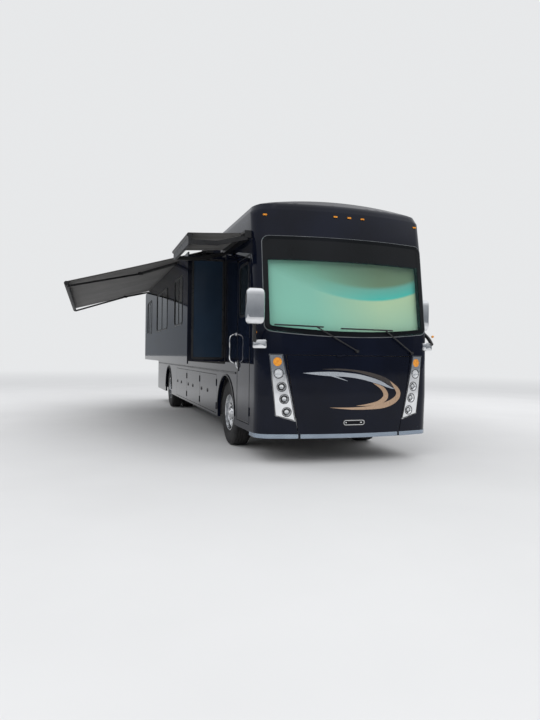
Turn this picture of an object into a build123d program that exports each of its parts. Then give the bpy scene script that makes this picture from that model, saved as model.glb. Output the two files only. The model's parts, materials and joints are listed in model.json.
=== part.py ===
from build123d import *
from math import asin, cos, pi, sin, sqrt
import os

# Motorhome, millimetres, Z up, front towards -Y, driver's side +X, ground at Z = 0.
# Sizes are in the coach's own frame: X = 0 on its middle plane, Y = 0 near its front corners.
HALF_WIDTH = 1285
FRONT_Y = -150
REAR_Y = 11350
LIP_Z = 345
SKIRT_Z = 390
FLOOR_Z = 1150
ROOF_Z = 3610
CROWN_RADIUS = 6300
HULL_TOP = ROOF_Z + 20
WALL = 50
GAP = 0.3
DOOR_GAP = 8

# A side wall's inner face, and a plane clear of its outer face.
INSIDE = HALF_WIDTH - WALL
BEYOND = HALF_WIDTH + 115

BOW_RADIUS = 4300
FRONT_CORNER_RADIUS = 230
REAR_CORNER_RADIUS = 160

# The body's plan outlines from the front lip to the roof.
# Columns: height, how far the front leans back, how far the sides draw in.
BODY_SECTIONS = [
    (LIP_Z, 25, 0),
    (900, 0, 0),
    (1740, 15, 0),
    (2980, 200, 0),
    (3400, 285, 0),
    (3500, 345, 35),
    (HULL_TOP, 560, 190),
]

# Where the body's panels meet.
CAP_BACK_LOW = 400
CAP_BACK_HIGH = 660
CAP_STEP_Z = 2880
REAR_CAP_Y = REAR_Y - 250
ROOF_SEAM_Z = 3420

# Wheels and axles.
FRONT_AXLE_Y = 1850
REAR_AXLE_Y = REAR_Y - 2600
WHEEL_Z = 515
TYRE_SIDES = 40
RIM_RADIUS = 286
TYRE_X = HALF_WIDTH - 190
TWIN_SPACING = 335
ARCH_RADIUS = 590
WHEEL_NUTS = 10
KINGPIN_X = TYRE_X - 215
KINGPIN_RADIUS = 25
SPINDLE_RADIUS = 45
REAR_SPINDLE_RADIUS = 60
ARM_END = (KINGPIN_X, FRONT_AXLE_Y + 260)
ARM_Z = 415
# A tyre's outline across its width. Columns: distance from its middle plane, radius.
TYRE_SECTIONS = [(-143, 400), (-130, 490), (-100, 515), (100, 515), (130, 490), (143, 400)]

# The frame's rails, their crossmembers, and what stands between them.
RAIL_X = 430
RAIL_WIDTH = 80
RAIL_Z0 = 700
RAIL_Z1 = 950
RAIL_Y0 = 100
RAIL_Y1 = REAR_Y - 200
MIDDLE_MEMBERS = 5
ENGINE_Y0 = REAR_Y - 1450
ENGINE_Y1 = REAR_Y - 350
GEARBOX_Y0 = ENGINE_Y0 - 600

# The front: glass, hatch, headlamps and marker lamps.
WINDSHIELD = (90 - HALF_WIDTH, HALF_WIDTH - 90, 1695, 3035)
WINDSHIELD_SAG = 70
GLASS_THICKNESS = 12
HEADER_Z = 2715
HATCH_TOP = (HALF_WIDTH - 370, 1440)
HATCH_FOOT = (HALF_WIDTH - 560, LIP_Z)
HATCH_FACE_Y = FRONT_Y + 9
HATCH_GAP = 12
HATCH_DRAFT = 0.3
SLOT = (22, 550, 300, 60)
# A headlamp bezel's corners. Columns: distance in from the side, Z, and which way each corner grows.
BEZEL = [(320, 1455, -1, 1), (146, 1455, 1, 1), (235, 645, 1, -1), (500, 572, -1, -1)]
# Round lamps down each bezel, the first of them amber. Columns: distance in from the side, Z.
LAMPS = [(255, 1355), (270, 1200), (309, 1027), (345, 867), (381, 697)]
LAMP_RADIUS = 58
# Amber lamps along the top of the front and the back. Columns: X, Z.
MARKERS = [(145 - HALF_WIDTH, 3330), (-176, 3345), (28, 3345), (232, 3345), (HALF_WIDTH - 145, 3330)]
MARKER_HALF = (26, 10)
# Wipers. Columns: pivot X and Z, blade from X and Z to X and Z.
WIPERS = [(40, 1505, -1085, 1840, -440, 1818), (930, 1490, -200, 1803, 585, 1795)]
WIPER_LIFT = 45

# The entry door, ahead of the front wheel on the passenger side, and its steps.
DOOR_Y0 = 430
DOOR_Y1 = 1130
DOOR_Z0 = 490
DOOR_Z1 = 2820
DOOR_WINDOW = (DOOR_Y0 + 90, DOOR_Y1 - 110, 1990, 2720)
# Columns: how far in from the side each step ends, its height.
STEPS = [(725, 920), (485, 690)]

# Compartment doors below the floor, evenly between the wheels. Columns: first and last Y.
BAY_COUNT = 3
BAY_POST = 30
BAY_FIRST_Y = FRONT_AXLE_Y + 710
BAY_STEP = (REAR_AXLE_Y - 1510 + BAY_POST - BAY_FIRST_Y) / BAY_COUNT
BAY_FRONTS = [BAY_FIRST_Y + i * BAY_STEP for i in range(BAY_COUNT)]
BAY_DOORS = [(front, front + BAY_STEP - BAY_POST) for front in BAY_FRONTS]
BAY_Z0 = 440
BAY_Z1 = 1090

# The louvred door behind the engine. Columns of each louvre block: first and last X.
ENGINE_DOOR = (-900, 900, 620, 1330)
LOUVRES = [(-840, -40), (40, 840)]
LOUVRE_Z0 = 690
LOUVRE_Z1 = 1260
LOUVRE_STEP = 57

# Foot of each hinge, up a door's front edge or along a lid's top edge.
DOOR_HINGES = (600, 1550, 2550)
BAY_HINGES = (500, 900)
ENGINE_DOOR_HINGES = (-760, 640)
HATCH_HINGES = (-240,)
BARREL_RADIUS = 6
LEAF_WIDTH = 22
HINGE_INSET = 4

# The slide-out rooms, standing open.
SLIDE_Y0 = FRONT_AXLE_Y + 120
SLIDE_Y1 = REAR_AXLE_Y + 200
SLIDE_Z0 = 1330
SLIDE_Z1 = 3010
SLIDE_WALL = 40
SLIDE_RUNNERS = (SLIDE_Y0 + 430, SLIDE_Y0 + 2330, SLIDE_Y1 - 2250, SLIDE_Y1 - 450)
SLIDE_TRAVEL = 590
SLIDE_OUT = 600
SLIDE_CLEAR = 10
FLANGE = 45
FLANGE_PROUD = 18

# Windows, all of one height. Columns: first and last Y of each one in a slide-out.
WINDOW_Z0 = 1950
WINDOW_Z1 = 2750
SLIDE_WINDOWS = [
    (SLIDE_Y0 + 480, SLIDE_Y0 + 1390),
    (SLIDE_Y0 + 2430, SLIDE_Y0 + 4230),
    (SLIDE_Y1 - 1600, SLIDE_Y1 - 600),
]
# Fixed side windows ahead of and behind the slide-outs. Columns: side, first Y, last Y, bottom, top.
SIDE_WINDOWS = [
    (1, 560, 1500, 1800, 2600),
    (1, REAR_Y - 1850, REAR_Y - 1050, 2050, 2750),
    (-1, REAR_Y - 1850, REAR_Y - 1050, 2050, 2750),
]

# The patio awning, rolled out, and the small one over the entry door.
AWNING_Y0 = SLIDE_Y0 + 1030
AWNING_Y1 = SLIDE_Y1 + 250
AWNING_CASE_Z = 3290
AWNING_CASE_FRONT = -BEYOND
AWNING_RAIL_X = AWNING_CASE_FRONT - 2350
AWNING_RAIL_Z = 2588
AWNING_RAIL_RADIUS = 38
CLOTH = 4
# Columns: first Y, last Y, case height, front rail's X and Z.
DOOR_AWNING = (420, 1820, 3085, -HALF_WIDTH - 855, 3015)
DOOR_CASE_FRONT = -HALF_WIDTH - 95

# The tow hitch's square receiver.
HITCH_Z = 340
HITCH_TUBE = 63.5
HITCH_BORE = 51.6
HITCH_Y1 = REAR_Y - 5
HITCH_MOUTH = 315
HITCH_PIN_RADIUS = 8
HITCH_PIN_Y = HITCH_Y1 - 70

# The door mirrors' heads. Columns: middle Y, foot Z, width, depth, height.
MIRROR_HEAD = (-110, 1830, 240, 150, 460)
MIRROR_X = HALF_WIDTH + 90
MIRROR_FOLDED_Y = 430
# A mirror's foot on the front corner. Columns: middle X, Y and Z, size X, Y and Z, turn in degrees.
MIRROR_FOOT = (HALF_WIDTH - 46, 106, 1585, 193, 130, 120, 31)
MARKER_PROUD = 12

# The middle of the whole outline, which becomes the origin.
SHIFT_X = -(AWNING_RAIL_X - AWNING_RAIL_RADIUS + HALF_WIDTH + SLIDE_OUT + FLANGE_PROUD) / 2
SHIFT_Y = -(MIRROR_HEAD[0] - MIRROR_HEAD[3] / 2 + REAR_Y + MARKER_PROUD) / 2

nodes = {}


def box(x0, x1, y0, y1, z0, z1):
    """A box between the given planes."""
    centre = ((x0 + x1) / 2, (y0 + y1) / 2, (z0 + z1) / 2)
    return Pos(*centre) * Box(abs(x1 - x0), abs(y1 - y0), abs(z1 - z0))


def rod(start, end, radius):
    """A round bar from one point to another."""
    a, b = Vector(start), Vector(end)
    plane = Plane(origin=a, z_dir=(b - a))
    return plane * Cylinder(radius, (b - a).length, align=(Align.CENTER, Align.CENTER, Align.MIN))


def flat_bar(start, end, width, depth):
    """A square bar from one point to another, its width kept level."""
    a, b = Vector(start), Vector(end)
    along = (b - a).normalized()
    side = along.cross(Vector(0, 0, 1)).normalized()
    plane = Plane(origin=a, x_dir=side, z_dir=along)
    return plane * Box(width, depth, (b - a).length, align=(Align.CENTER, Align.CENTER, Align.MIN))


def rounded_panel(x0, x1, y0, y1, z0, z1, radius=80):
    """A panel that faces sideways, its four corners rounded as seen from the side."""
    outline = RectangleRounded(y1 - y0, z1 - z0, radius)
    plane = Plane(origin=(min(x0, x1), (y0 + y1) / 2, (z0 + z1) / 2), x_dir=(0, 1, 0), z_dir=(1, 0, 0))
    return extrude(plane * outline, abs(x1 - x0))


def side_cut(side, y0, y1, z0, z1):
    """A square hole's cut through one side wall."""
    return box(side * (INSIDE - 35), side * BEYOND, y0, y1, z0, z1)


def side_window_cut(side, y0, y1, z0, z1):
    """A round-cornered window's cut through one side wall."""
    return rounded_panel(side * (INSIDE - 35), side * BEYOND, y0, y1, z0, z1)


def side_hinges(side, y0, heights, lean):
    """Hinge barrels and leaves at one door's front edge: lean +1 on the door, -1 on the wall."""
    x, y = side * (HALF_WIDTH + BARREL_RADIUS), y0 - HINGE_INSET
    pieces = []
    for z in heights:
        z0, z1 = (z, z + 60) if lean > 0 else (z + 60 + GAP, z + 120)
        leaf = box(side * (HALF_WIDTH - 1), x, y, y + lean * LEAF_WIDTH, z0, z1)
        pieces.append(rod((x, y, z0), (x, y, z1), BARREL_RADIUS) + leaf)
    return pieces


def level_hinges(y, z, outward, places, lean):
    """Hinge barrels and leaves along a lid's top edge: lean -1 on the lid, +1 on the body over it."""
    pieces = []
    axis_y = y + outward * BARREL_RADIUS
    for x in places:
        x0, x1 = (x, x + 60) if lean < 0 else (x + 60 + GAP, x + 120)
        leaf = box(x0, x1, y - outward * 5, axis_y, z, z + lean * LEAF_WIDTH)
        pieces.append(rod((x0, axis_y, z), (x1, axis_y, z), BARREL_RADIUS) + leaf)
    return pieces


def joined(shape, pieces):
    """Fuse small pieces to the shape that carries them."""
    for piece in pieces:
        shape += piece
    return shape


def body_outline(z, setback, drawn_in, inset):
    """One plan outline: a bowed front, two front corners, straight sides, round rear corners."""
    half = HALF_WIDTH - drawn_in - inset
    bow = BOW_RADIUS - inset
    corner = FRONT_CORNER_RADIUS - inset
    front = FRONT_Y + setback + inset
    x1 = (half - corner) / (1 - corner / bow)
    turn = asin(x1 / bow)
    y1 = front + bow - sqrt(bow**2 - x1**2)
    middle = (turn + pi / 2) / 2
    xm = x1 + corner * (sin(middle) - sin(turn))
    ym = y1 + corner * (cos(turn) - cos(middle))
    y2 = y1 + corner * cos(turn)
    rear = REAR_Y - drawn_in / 2 - inset
    rear_r = REAR_CORNER_RADIUS - inset
    near = rear_r * (1 - cos(pi / 4))
    edges = [
        ThreePointArc((-x1, y1), (0, front), (x1, y1)),
        ThreePointArc((x1, y1), (xm, ym), (half, y2)),
        Line((half, y2), (half, rear - rear_r)),
        ThreePointArc((half, rear - rear_r), (half - near, rear - near), (half - rear_r, rear)),
        Line((half - rear_r, rear), (rear_r - half, rear)),
        ThreePointArc((rear_r - half, rear), (near - half, rear - near), (-half, rear - rear_r)),
        Line((-half, rear - rear_r), (-half, y2)),
        ThreePointArc((-half, y2), (-xm, ym), (-x1, y1)),
    ]
    return Pos(0, 0, z) * make_face(Wire(edges))


def crown(inset=0):
    """The roof's arch across the coach: a long drum that the whole body lies in."""
    z = ROOF_Z - CROWN_RADIUS
    return rod((0, FRONT_Y - 500, z), (0, REAR_Y + 500, z), CROWN_RADIUS - inset)


def body_hull(inset=0):
    """The body as one solid block, drawn in by the given inset on every side but its open foot."""
    faces = []
    for z, setback, drawn_in in BODY_SECTIONS:
        height = LIP_Z - 5 if inset and z == LIP_Z else z - (inset if z == HULL_TOP else 0)
        faces.append(body_outline(height, setback, drawn_in, inset))
    return loft(faces, ruled=True) & crown(inset)


OUTER = body_hull()
INNER = body_hull(WALL)
SHELL = OUTER - INNER


def skin(depth0, depth1):
    """A thin layer of the body between two depths below its outer face."""
    outside = OUTER if depth0 == 0 else body_hull(depth0)
    return outside - body_hull(depth1)


def setback_at(z):
    """How far the front leans back at one height."""
    for low, high in zip(BODY_SECTIONS, BODY_SECTIONS[1:]):
        if z <= high[0]:
            return low[1] + (high[1] - low[1]) * (z - low[0]) / (high[0] - low[0])
    return BODY_SECTIONS[-1][1]


def face_y(x, z):
    """Y of the bowed front face at one place."""
    return FRONT_Y + setback_at(z) + BOW_RADIUS - sqrt(BOW_RADIUS**2 - x**2)


def arch(side, y):
    """The wheel arch's cut through one wall."""
    hole = rod((side * (INSIDE - 85), y, WHEEL_Z), (side * BEYOND, y, WHEEL_Z), ARCH_RADIUS)
    foot = box(side * (INSIDE - 85), side * BEYOND, y - ARCH_RADIUS, y + ARCH_RADIUS, 0, WHEEL_Z)
    return hole + foot


def side_wall(side):
    """One side wall, cut for its wheels, compartments, slide-out, windows and door."""
    wall = SHELL & box(side * BEYOND, side * (INSIDE - 60), CAP_BACK_LOW, REAR_CAP_Y, SKIRT_Z, ROOF_SEAM_Z)
    wall -= box(side * (INSIDE - 135), side * BEYOND, 0, CAP_BACK_HIGH, CAP_STEP_Z, ROOF_Z)
    for y in (FRONT_AXLE_Y, REAR_AXLE_Y):
        wall -= arch(side, y)
    for y0, y1 in BAY_DOORS:
        wall -= side_cut(side, y0 - DOOR_GAP, y1 + DOOR_GAP, BAY_Z0 - DOOR_GAP, BAY_Z1 + DOOR_GAP)
    c = SLIDE_CLEAR
    wall -= side_cut(side, SLIDE_Y0 - c, SLIDE_Y1 + c, SLIDE_Z0 - c, SLIDE_Z1 + c)
    for where, y0, y1, z0, z1 in SIDE_WINDOWS:
        if where == side:
            wall -= side_window_cut(side, y0, y1, z0, z1)
    if side < 0:
        g = DOOR_GAP
        wall -= side_cut(side, DOOR_Y0 - g, DOOR_Y1 + g, DOOR_Z0 - g, DOOR_Z1 + g)
        wall = joined(wall, side_hinges(side, DOOR_Y0, DOOR_HINGES, -1))
    for y0, y1 in BAY_DOORS:
        wall = joined(wall, side_hinges(side, y0, BAY_HINGES, -1))
    return wall


def front_cap():
    """The moulded front from the lip to the roof, with a dark header behind the top of its glass."""
    low = box(-BEYOND, BEYOND, -400, CAP_BACK_LOW, 0, CAP_STEP_Z)
    high = box(-BEYOND, BEYOND, -400, CAP_BACK_HIGH, CAP_STEP_Z, ROOF_SEAM_Z)
    cap = SHELL & (low + high)
    x0, x1, z0, z1 = WINDSHIELD
    cap -= front_window(x0 - GAP, x1 + GAP, z0 - GAP, z1 + GAP)
    cap += skin(WALL - 1, WALL + 12) & box(x0 + 45, x1 - 45, -400, 500, HEADER_Z, z1 + 60)
    cap -= hatch_outline(HATCH_GAP, 0)
    for side in (-1, 1):
        cap -= headlamp_outline(side, GAP)
    return joined(cap, level_hinges(HATCH_FACE_Y, HATCH_TOP[1] + HINGE_INSET, -1, HATCH_HINGES, 1))


def front_plane(y):
    """A plane to draw on as seen from the front, Z upwards."""
    return Plane(origin=(0, y, 0), x_dir=(1, 0, 0), z_dir=(0, -1, 0))


def front_window(x0, x1, z0, z1):
    """The big front window, its foot sagging towards the middle."""
    side_z = z0 + WINDSHIELD_SAG
    foot = ThreePointArc((x0, side_z), (0, z0), (x1, side_z))
    rest = Polyline((x1, side_z), (x1, z1), (x0, z1), (x0, side_z))
    outline = make_face(Wire(foot.edges() + rest.edges()))
    return extrude(front_plane(330) * fillet(outline.vertices(), 90), 600)


def hatch_outline(grow, draft):
    """The front hatch, narrower at its foot. Its sides draw in towards the back by the draft."""
    faces = []
    for y in (-200, 100):
        narrower = draft * (y + 50) - grow
        top_x, foot_x = HATCH_TOP[0] - narrower, HATCH_FOOT[0] - narrower
        top_z, foot_z = HATCH_TOP[1] + min(grow, DOOR_GAP), HATCH_FOOT[1] - grow - 10
        points = [(-foot_x, foot_z), (foot_x, foot_z), (top_x, top_z), (-top_x, top_z)]
        faces.append(front_plane(y) * make_face(Polyline(*points, close=True)))
    return loft(faces, ruled=True)


def headlamp_outline(side, grow):
    """One headlamp bezel: tall, leaning in towards its foot."""
    points = []
    for inward, z, grow_x, grow_z in BEZEL:
        points.append((side * (HALF_WIDTH - inward + grow_x * grow), z + grow_z * grow))
    return extrude(front_plane(330) * make_face(Polyline(*points, close=True)), 600)


def lamp_plug(side, inward, z, radius, depth0, depth1):
    """A round plug square to the bowed face, between two depths below it."""
    x = side * (HALF_WIDTH - inward)
    lean = x / BOW_RADIUS
    back = Vector(-lean, sqrt(1 - lean**2), 0)
    middle = Vector(x, face_y(x, z), z)
    return rod(middle + back * depth0, middle + back * depth1, radius)


def windshield():
    return skin(0, GLASS_THICKNESS) & front_window(*WINDSHIELD)


def windshield_blind():
    """The pull-down blind behind the glass, hung from three small brackets on the header."""
    half = HALF_WIDTH - 155
    sheet = skin(80, 88) & box(-half, half, -400, 500, WINDSHIELD[2] + 50, HEADER_Z + 40)
    for x in (-900, 0, 900):
        sheet += skin(WALL + 12 + GAP, 84) & box(x - 40, x + 40, -300, 500, HEADER_Z + 20, HEADER_Z + 39)
    return sheet


def service_hatch():
    """The front hatch over the generator, hinged along its top, with a slot near its foot."""
    hatch = SHELL & hatch_outline(0, HATCH_DRAFT)
    x, z, length, height = SLOT
    slot = Pos(x, z) * RectangleRounded(length, height, height / 2 - 1)
    hatch -= extrude(front_plane(HATCH_FACE_Y + 35) * slot, 100)
    return joined(hatch, level_hinges(HATCH_FACE_Y, HATCH_TOP[1] + HINGE_INSET, -1, HATCH_HINGES, -1))


def headlamps():
    """The polished bezels, each bored for its column of round lamps."""
    layer = skin(0, 60)
    bezels = []
    for side in (-1, 1):
        bezel = layer & headlamp_outline(side, 0)
        for inward, z in LAMPS:
            bezel -= lamp_plug(side, inward, z, LAMP_RADIUS + GAP, -30, 90)
        bezels.append(bezel.solids()[0])
    return Compound(bezels)


def headlamp_lenses():
    """Four round lamps a side, set 6 mm back in their bezel, each with a chamfered rim."""
    lenses = []
    for side in (-1, 1):
        for inward, z in LAMPS[1:]:
            lens = lamp_plug(side, inward, z, LAMP_RADIUS, 6, 50)
            rim = lens.edges().filter_by(GeomType.CIRCLE).sort_by(Axis.Y)[0]
            lenses.append(chamfer(rim, 8))
    return Compound(lenses)


def marker_lamps():
    """Small amber lamps that stand proud of the front and the back, and the bezels' amber ones."""
    seat = body_hull(-GAP)
    lamps = [lamp_plug(side, *LAMPS[0], LAMP_RADIUS, 6, 50) for side in (-1, 1)]
    across, up = MARKER_HALF
    for x, z in MARKERS:
        y = face_y(x, z)
        lamps += (box(x - across, x + across, y - MARKER_PROUD, y + 60, z - up, z + up) - seat).solids()
        lamps.append(box(x - across, x + across, REAR_Y + GAP, REAR_Y + MARKER_PROUD, z - up, z + up))
    return Compound(lamps)


def mirrors():
    """Both door mirrors: a foot on the front corner, a stem and the tall head. The driver's is folded back."""
    pieces = []
    seat = body_hull(-GAP)
    y, z, width, depth, height = MIRROR_HEAD
    foot_x, foot_y, foot_z, *foot_size, turn = MIRROR_FOOT
    for side, head_y, folded in ((-1, y, 0), (1, MIRROR_FOLDED_Y, 90)):
        foot = Pos(side * foot_x, foot_y, foot_z) * Rot(0, 0, side * turn) * Box(*foot_size) - seat
        foot = foot.solids().sort_by(lambda piece: piece.volume)[-1]
        stem_foot = (side * (HALF_WIDTH + 42), 75, foot_z + 40)
        stem = rod(stem_foot, (side * MIRROR_X, head_y + side * 30, z + 20), 24)
        outline = Pos(side * MIRROR_X, head_y, z) * Rot(0, 0, folded) * RectangleRounded(width, depth, 55)
        pieces.append(foot + stem + extrude(outline, height))
    return Compound(pieces)


def wipers():
    """Two wipers: pivot boss, arm and blade, clear of the glass by the lift."""
    pieces = []
    seat = body_hull(-GAP)
    for px, pz, ax, az, bx, bz in WIPERS:
        pivot = rod((px, face_y(px, pz) + 20, pz), (px, face_y(px, pz) - WIPER_LIFT, pz), 22) - seat
        mx, mz = ax + (bx - ax) * 0.85, az + (bz - az) * 0.85
        grip = (mx, face_y(mx, mz) - WIPER_LIFT, mz)
        arm = rod((px, face_y(px, pz) - WIPER_LIFT + 8, pz), grip, 9)
        blade = rod((ax, face_y(ax, az) - WIPER_LIFT, az), grip, 10)
        blade += rod(grip, (bx, face_y(bx, bz) - WIPER_LIFT, bz), 10)
        pieces.append(pivot + arm + blade)
    return Compound(pieces)


def rear_cap():
    """The moulded tail, cut for the engine door and the tail lamps."""
    cap = SHELL & box(-BEYOND, BEYOND, REAR_CAP_Y, REAR_Y + 50, SKIRT_Z, ROOF_SEAM_Z)
    x0, x1, z0, z1 = ENGINE_DOOR
    g = DOOR_GAP
    cap -= box(x0 - g, x1 + g, REAR_Y - 200, REAR_Y + 50, z0 - g, z1 + g)
    for side in (-1, 1):
        cap -= tail_lamp(side, GAP)
    return joined(cap, level_hinges(REAR_Y, z1 + HINGE_INSET, 1, ENGINE_DOOR_HINGES, 1))


def engine_door():
    """The lid behind the engine, hinged along its top, with two blocks of slanting louvres."""
    x0, x1, z0, z1 = ENGINE_DOOR
    door = box(x0, x1, REAR_Y - WALL, REAR_Y, z0, z1)
    for first, last in LOUVRES:
        door -= box(first, last, REAR_Y - 80, REAR_Y + 10, LOUVRE_Z0, LOUVRE_Z1)
        for z in range(LOUVRE_Z0 + 20, LOUVRE_Z1 - 10, LOUVRE_STEP):
            place = Pos((first + last) / 2, REAR_Y - WALL / 2, z) * Rot(-40, 0, 0)
            door += place * Box(last - first + 4, 58, 5)
    return joined(door, level_hinges(REAR_Y, z1 + HINGE_INSET, 1, ENGINE_DOOR_HINGES, -1))


def tail_lamp(side, grow=0):
    """A tall lamp's outline, run through the tail."""
    plane = Plane(origin=(side * (HALF_WIDTH - 225), REAR_Y - 120, 1750), x_dir=(1, 0, 0), z_dir=(0, 1, 0))
    outline = RectangleRounded(130 + 2 * grow, 620 + 2 * grow, 50)
    return extrude(plane * outline, 300)


def tail_lamps():
    return Compound([(SHELL & tail_lamp(side)).solids()[0] for side in (-1, 1)])


def roof():
    return SHELL & box(-BEYOND, BEYOND, -400, REAR_Y + 50, ROOF_SEAM_Z, ROOF_Z + 50)


def roof_units():
    """Three air conditioners on the roof, and a low vent each side of the middle one."""
    units = []
    sunk = ROOF_Z - 20
    middle = REAR_AXLE_Y - 3050
    for y in (FRONT_AXLE_Y + 650, middle, REAR_AXLE_Y + 450):
        shell = Pos(0, y, sunk) * extrude(RectangleRounded(720, 1020, 120), ROOF_Z + 270 - sunk)
        units.append(chamfer(shell.faces().sort_by(Axis.Z)[-1].edges(), 60))
    for y in (middle - 1100, middle + 1100):
        units.append(box(-220, 220, y - 220, y + 220, sunk, ROOF_Z + 110))
    return Compound([unit - crown(-GAP) for unit in units])


def floor():
    """The floor deck, the entry steps let into it, and the low runners under the slide-outs."""
    edge = HALF_WIDTH - 135
    deck = box(-INSIDE, INSIDE, 420, REAR_CAP_Y, FLOOR_Z - 50, FLOOR_Z)
    deck += box(-edge, edge, 260, 421, FLOOR_Z - 50, FLOOR_Z)
    deep, low = STEPS[0][0] - HALF_WIDTH, DOOR_Z0 + 150
    deck -= box(-HALF_WIDTH, deep, DOOR_Y0 - 10, DOOR_Y1 + 10, 0, FLOOR_Z + 10)
    for inward, z in STEPS:
        x = inward - HALF_WIDTH
        deck += box(x - 240, x + 20, DOOR_Y0 - 10, DOOR_Y1 + 10, z - 30, z)
        deck += box(x, x + 20, DOOR_Y0 - 10, DOOR_Y1 + 10, z - 30, z + 230)
    for y in (DOOR_Y0 - 30, DOOR_Y1 + 10):
        deck += box(35 - INSIDE, deep + 20, y, y + 20, low, FLOOR_Z)
    top = SLIDE_Z0 - GAP
    for side in (-1, 1):
        for y in SLIDE_RUNNERS:
            deck += box(side * INSIDE, side * (INSIDE - 615), y - 30, y + 30, FLOOR_Z - 10, top)
            deck += box(side * (INSIDE - 1), side * HALF_WIDTH, y - 30, y + 30, top - 9, top)
    return deck


def storage_bays():
    """The trays behind the compartment doors, hung from the floor and cleared round the rails."""
    y_first, y_last = BAY_DOORS[0][0] - 40, BAY_DOORS[-1][1] + 40
    edge = INSIDE - 6
    bays = box(-edge, edge, y_first, y_last, SKIRT_Z + 20, SKIRT_Z + 40)
    walls = [y_first + 10] + [y1 + 15 for y0, y1 in BAY_DOORS[:-1]] + [y_last - 10]
    for y in walls:
        bays += box(-edge, edge, y - 10, y + 10, SKIRT_Z + 20, FLOOR_Z - 50)
    for side in (-1, 1):
        x0, x1 = side * (RAIL_X - RAIL_WIDTH / 2 - GAP), side * (RAIL_X + RAIL_WIDTH / 2 + GAP)
        bays -= box(x0, x1, y_first - 50, y_last + 50, RAIL_Z0 - GAP, RAIL_Z1 + GAP)
    return bays - box(50 - RAIL_X, RAIL_X - 50, y_first - 50, y_last + 50, RAIL_Z0 - GAP, FLOOR_Z)


def member_places():
    """Y of the crossmembers near the front axle and between the axles."""
    step = (REAR_AXLE_Y - FRONT_AXLE_Y - 2500) / (MIDDLE_MEMBERS - 1)
    middle = [FRONT_AXLE_Y + 1450 + i * step for i in range(MIDDLE_MEMBERS)]
    return [FRONT_AXLE_Y - 550, FRONT_AXLE_Y + 550] + middle


def chassis_frame():
    """Two rails, their crossmembers and the outriggers that carry the floor."""
    half = RAIL_WIDTH / 2
    frame = box(-RAIL_X, RAIL_X, RAIL_Y0, RAIL_Y0 + 80, RAIL_Z0 + 60, RAIL_Z1 - 60)
    for side in (-1, 1):
        frame += box(side * (RAIL_X - half), side * (RAIL_X + half), RAIL_Y0, RAIL_Y1, RAIL_Z0, RAIL_Z1)
    for y in member_places() + [REAR_AXLE_Y + 450, RAIL_Y1 - 50]:
        frame += box(-RAIL_X, RAIL_X, y - 40, y + 40, RAIL_Z0 + 60, RAIL_Z1 - 60)
    for side in (-1, 1):
        x0, x1 = side * (RAIL_X - half), side * (RAIL_X + half)
        for y in member_places() + [REAR_AXLE_Y + 750, REAR_Y - 550]:
            frame += box(x0, x1, y - 30, y + 30, RAIL_Z1 - 20, FLOOR_Z - 50)
        frame += box(x0, x1, RAIL_Y0 + 8, RAIL_Y0 + 90, 620, RAIL_Z0 + 10)
    return frame


def front_axle():
    """The dropped I-beam between the kingpin eyes, with its spring pads."""
    y, k = FRONT_AXLE_Y, KINGPIN_X
    beam = box(180 - k, k - 180, y - 50, y + 50, 400, 500)
    for side in (-1, 1):
        beam += box(side * (k - 240), side * (k - 90), y - 50, y + 50, 420, 560)
        beam += box(side * (k - 120), side * k, y - 45, y + 45, 470, 560)
        beam += Pos(side * k, y, WHEEL_Z) * Cylinder(60, 90)
        beam -= Pos(side * k, y, WHEEL_Z) * Cylinder(KINGPIN_RADIUS + GAP, 120)
        beam += box(side * (RAIL_X - 100), side * (RAIL_X + 100), y - 90, y + 90, 490, 520)
    return beam


def rear_axle():
    """The drive axle: housing, differential bulge, spring pads and the two spindles."""
    y, z = REAR_AXLE_Y, WHEEL_Z
    housing, spindle = TYRE_X - TWIN_SPACING - 120, TYRE_X - 85
    axle = rod((-housing, y, z), (housing, y, z), 75)
    axle += rod((-spindle, y, z), (spindle, y, z), REAR_SPINDLE_RADIUS)
    axle += rod((-90, y, z), (90, y, z), 200)
    axle += rod((0, y, z), (0, y + 320, z), 80)
    for side in (-1, 1):
        axle += box(side * (RAIL_X - 100), side * (RAIL_X + 100), y - 90, y + 90, 560, 600)
    return axle


def air_springs():
    """Four rubber air springs between the axles' pads and the rails."""
    springs = []
    for y, z0 in ((FRONT_AXLE_Y, 520), (REAR_AXLE_Y, 600)):
        for side in (-1, 1):
            springs.append(rod((side * RAIL_X, y, z0 + GAP), (side * RAIL_X, y, RAIL_Z0 - GAP), 85))
    return Compound(springs)


def knuckle(side):
    """A steering knuckle: the fork round the axle's eye, the kingpin, spindle and steering arm."""
    x, y = side * KINGPIN_X, FRONT_AXLE_Y
    part = Pos(x, y, WHEEL_Z) * Cylinder(KINGPIN_RADIUS, 180)
    part += Pos(x, y, 594) * Cylinder(62, 50)
    part += Pos(x, y, 436) * Cylinder(62, 50)
    part += box(x + side * 66, x + side * 100, y - 60, y + 60, 411, 619)
    part += box(x, x + side * 80, y - 45, y + 45, 569, 619)
    part += box(x, x + side * 80, y - 45, y + 45, 411, 461)
    part += rod((x + side * 90, y, WHEEL_Z), (side * (TYRE_X + 65), y, WHEEL_Z), SPINDLE_RADIUS)
    arm_end = (side * ARM_END[0], ARM_END[1], ARM_Z + 10)
    part += flat_bar((x, y + 20, ARM_Z + 10), arm_end, 50, 28)
    part += Pos(*arm_end) * Cylinder(38, 28)
    part += Pos(side * ARM_END[0], ARM_END[1], ARM_Z - 20) * Cylinder(14, 74)
    return part


def tie_rod():
    """The bar that joins both steering arms, under their ends."""
    z = ARM_Z - 35
    bar = rod((-ARM_END[0], ARM_END[1], z), (ARM_END[0], ARM_END[1], z), 17)
    for side in (-1, 1):
        bar += Pos(side * ARM_END[0], ARM_END[1], z) * Cylinder(32, 42)
        bar -= Pos(side * ARM_END[0], ARM_END[1], z) * Cylinder(14 + GAP, 60)
    return bar


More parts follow.
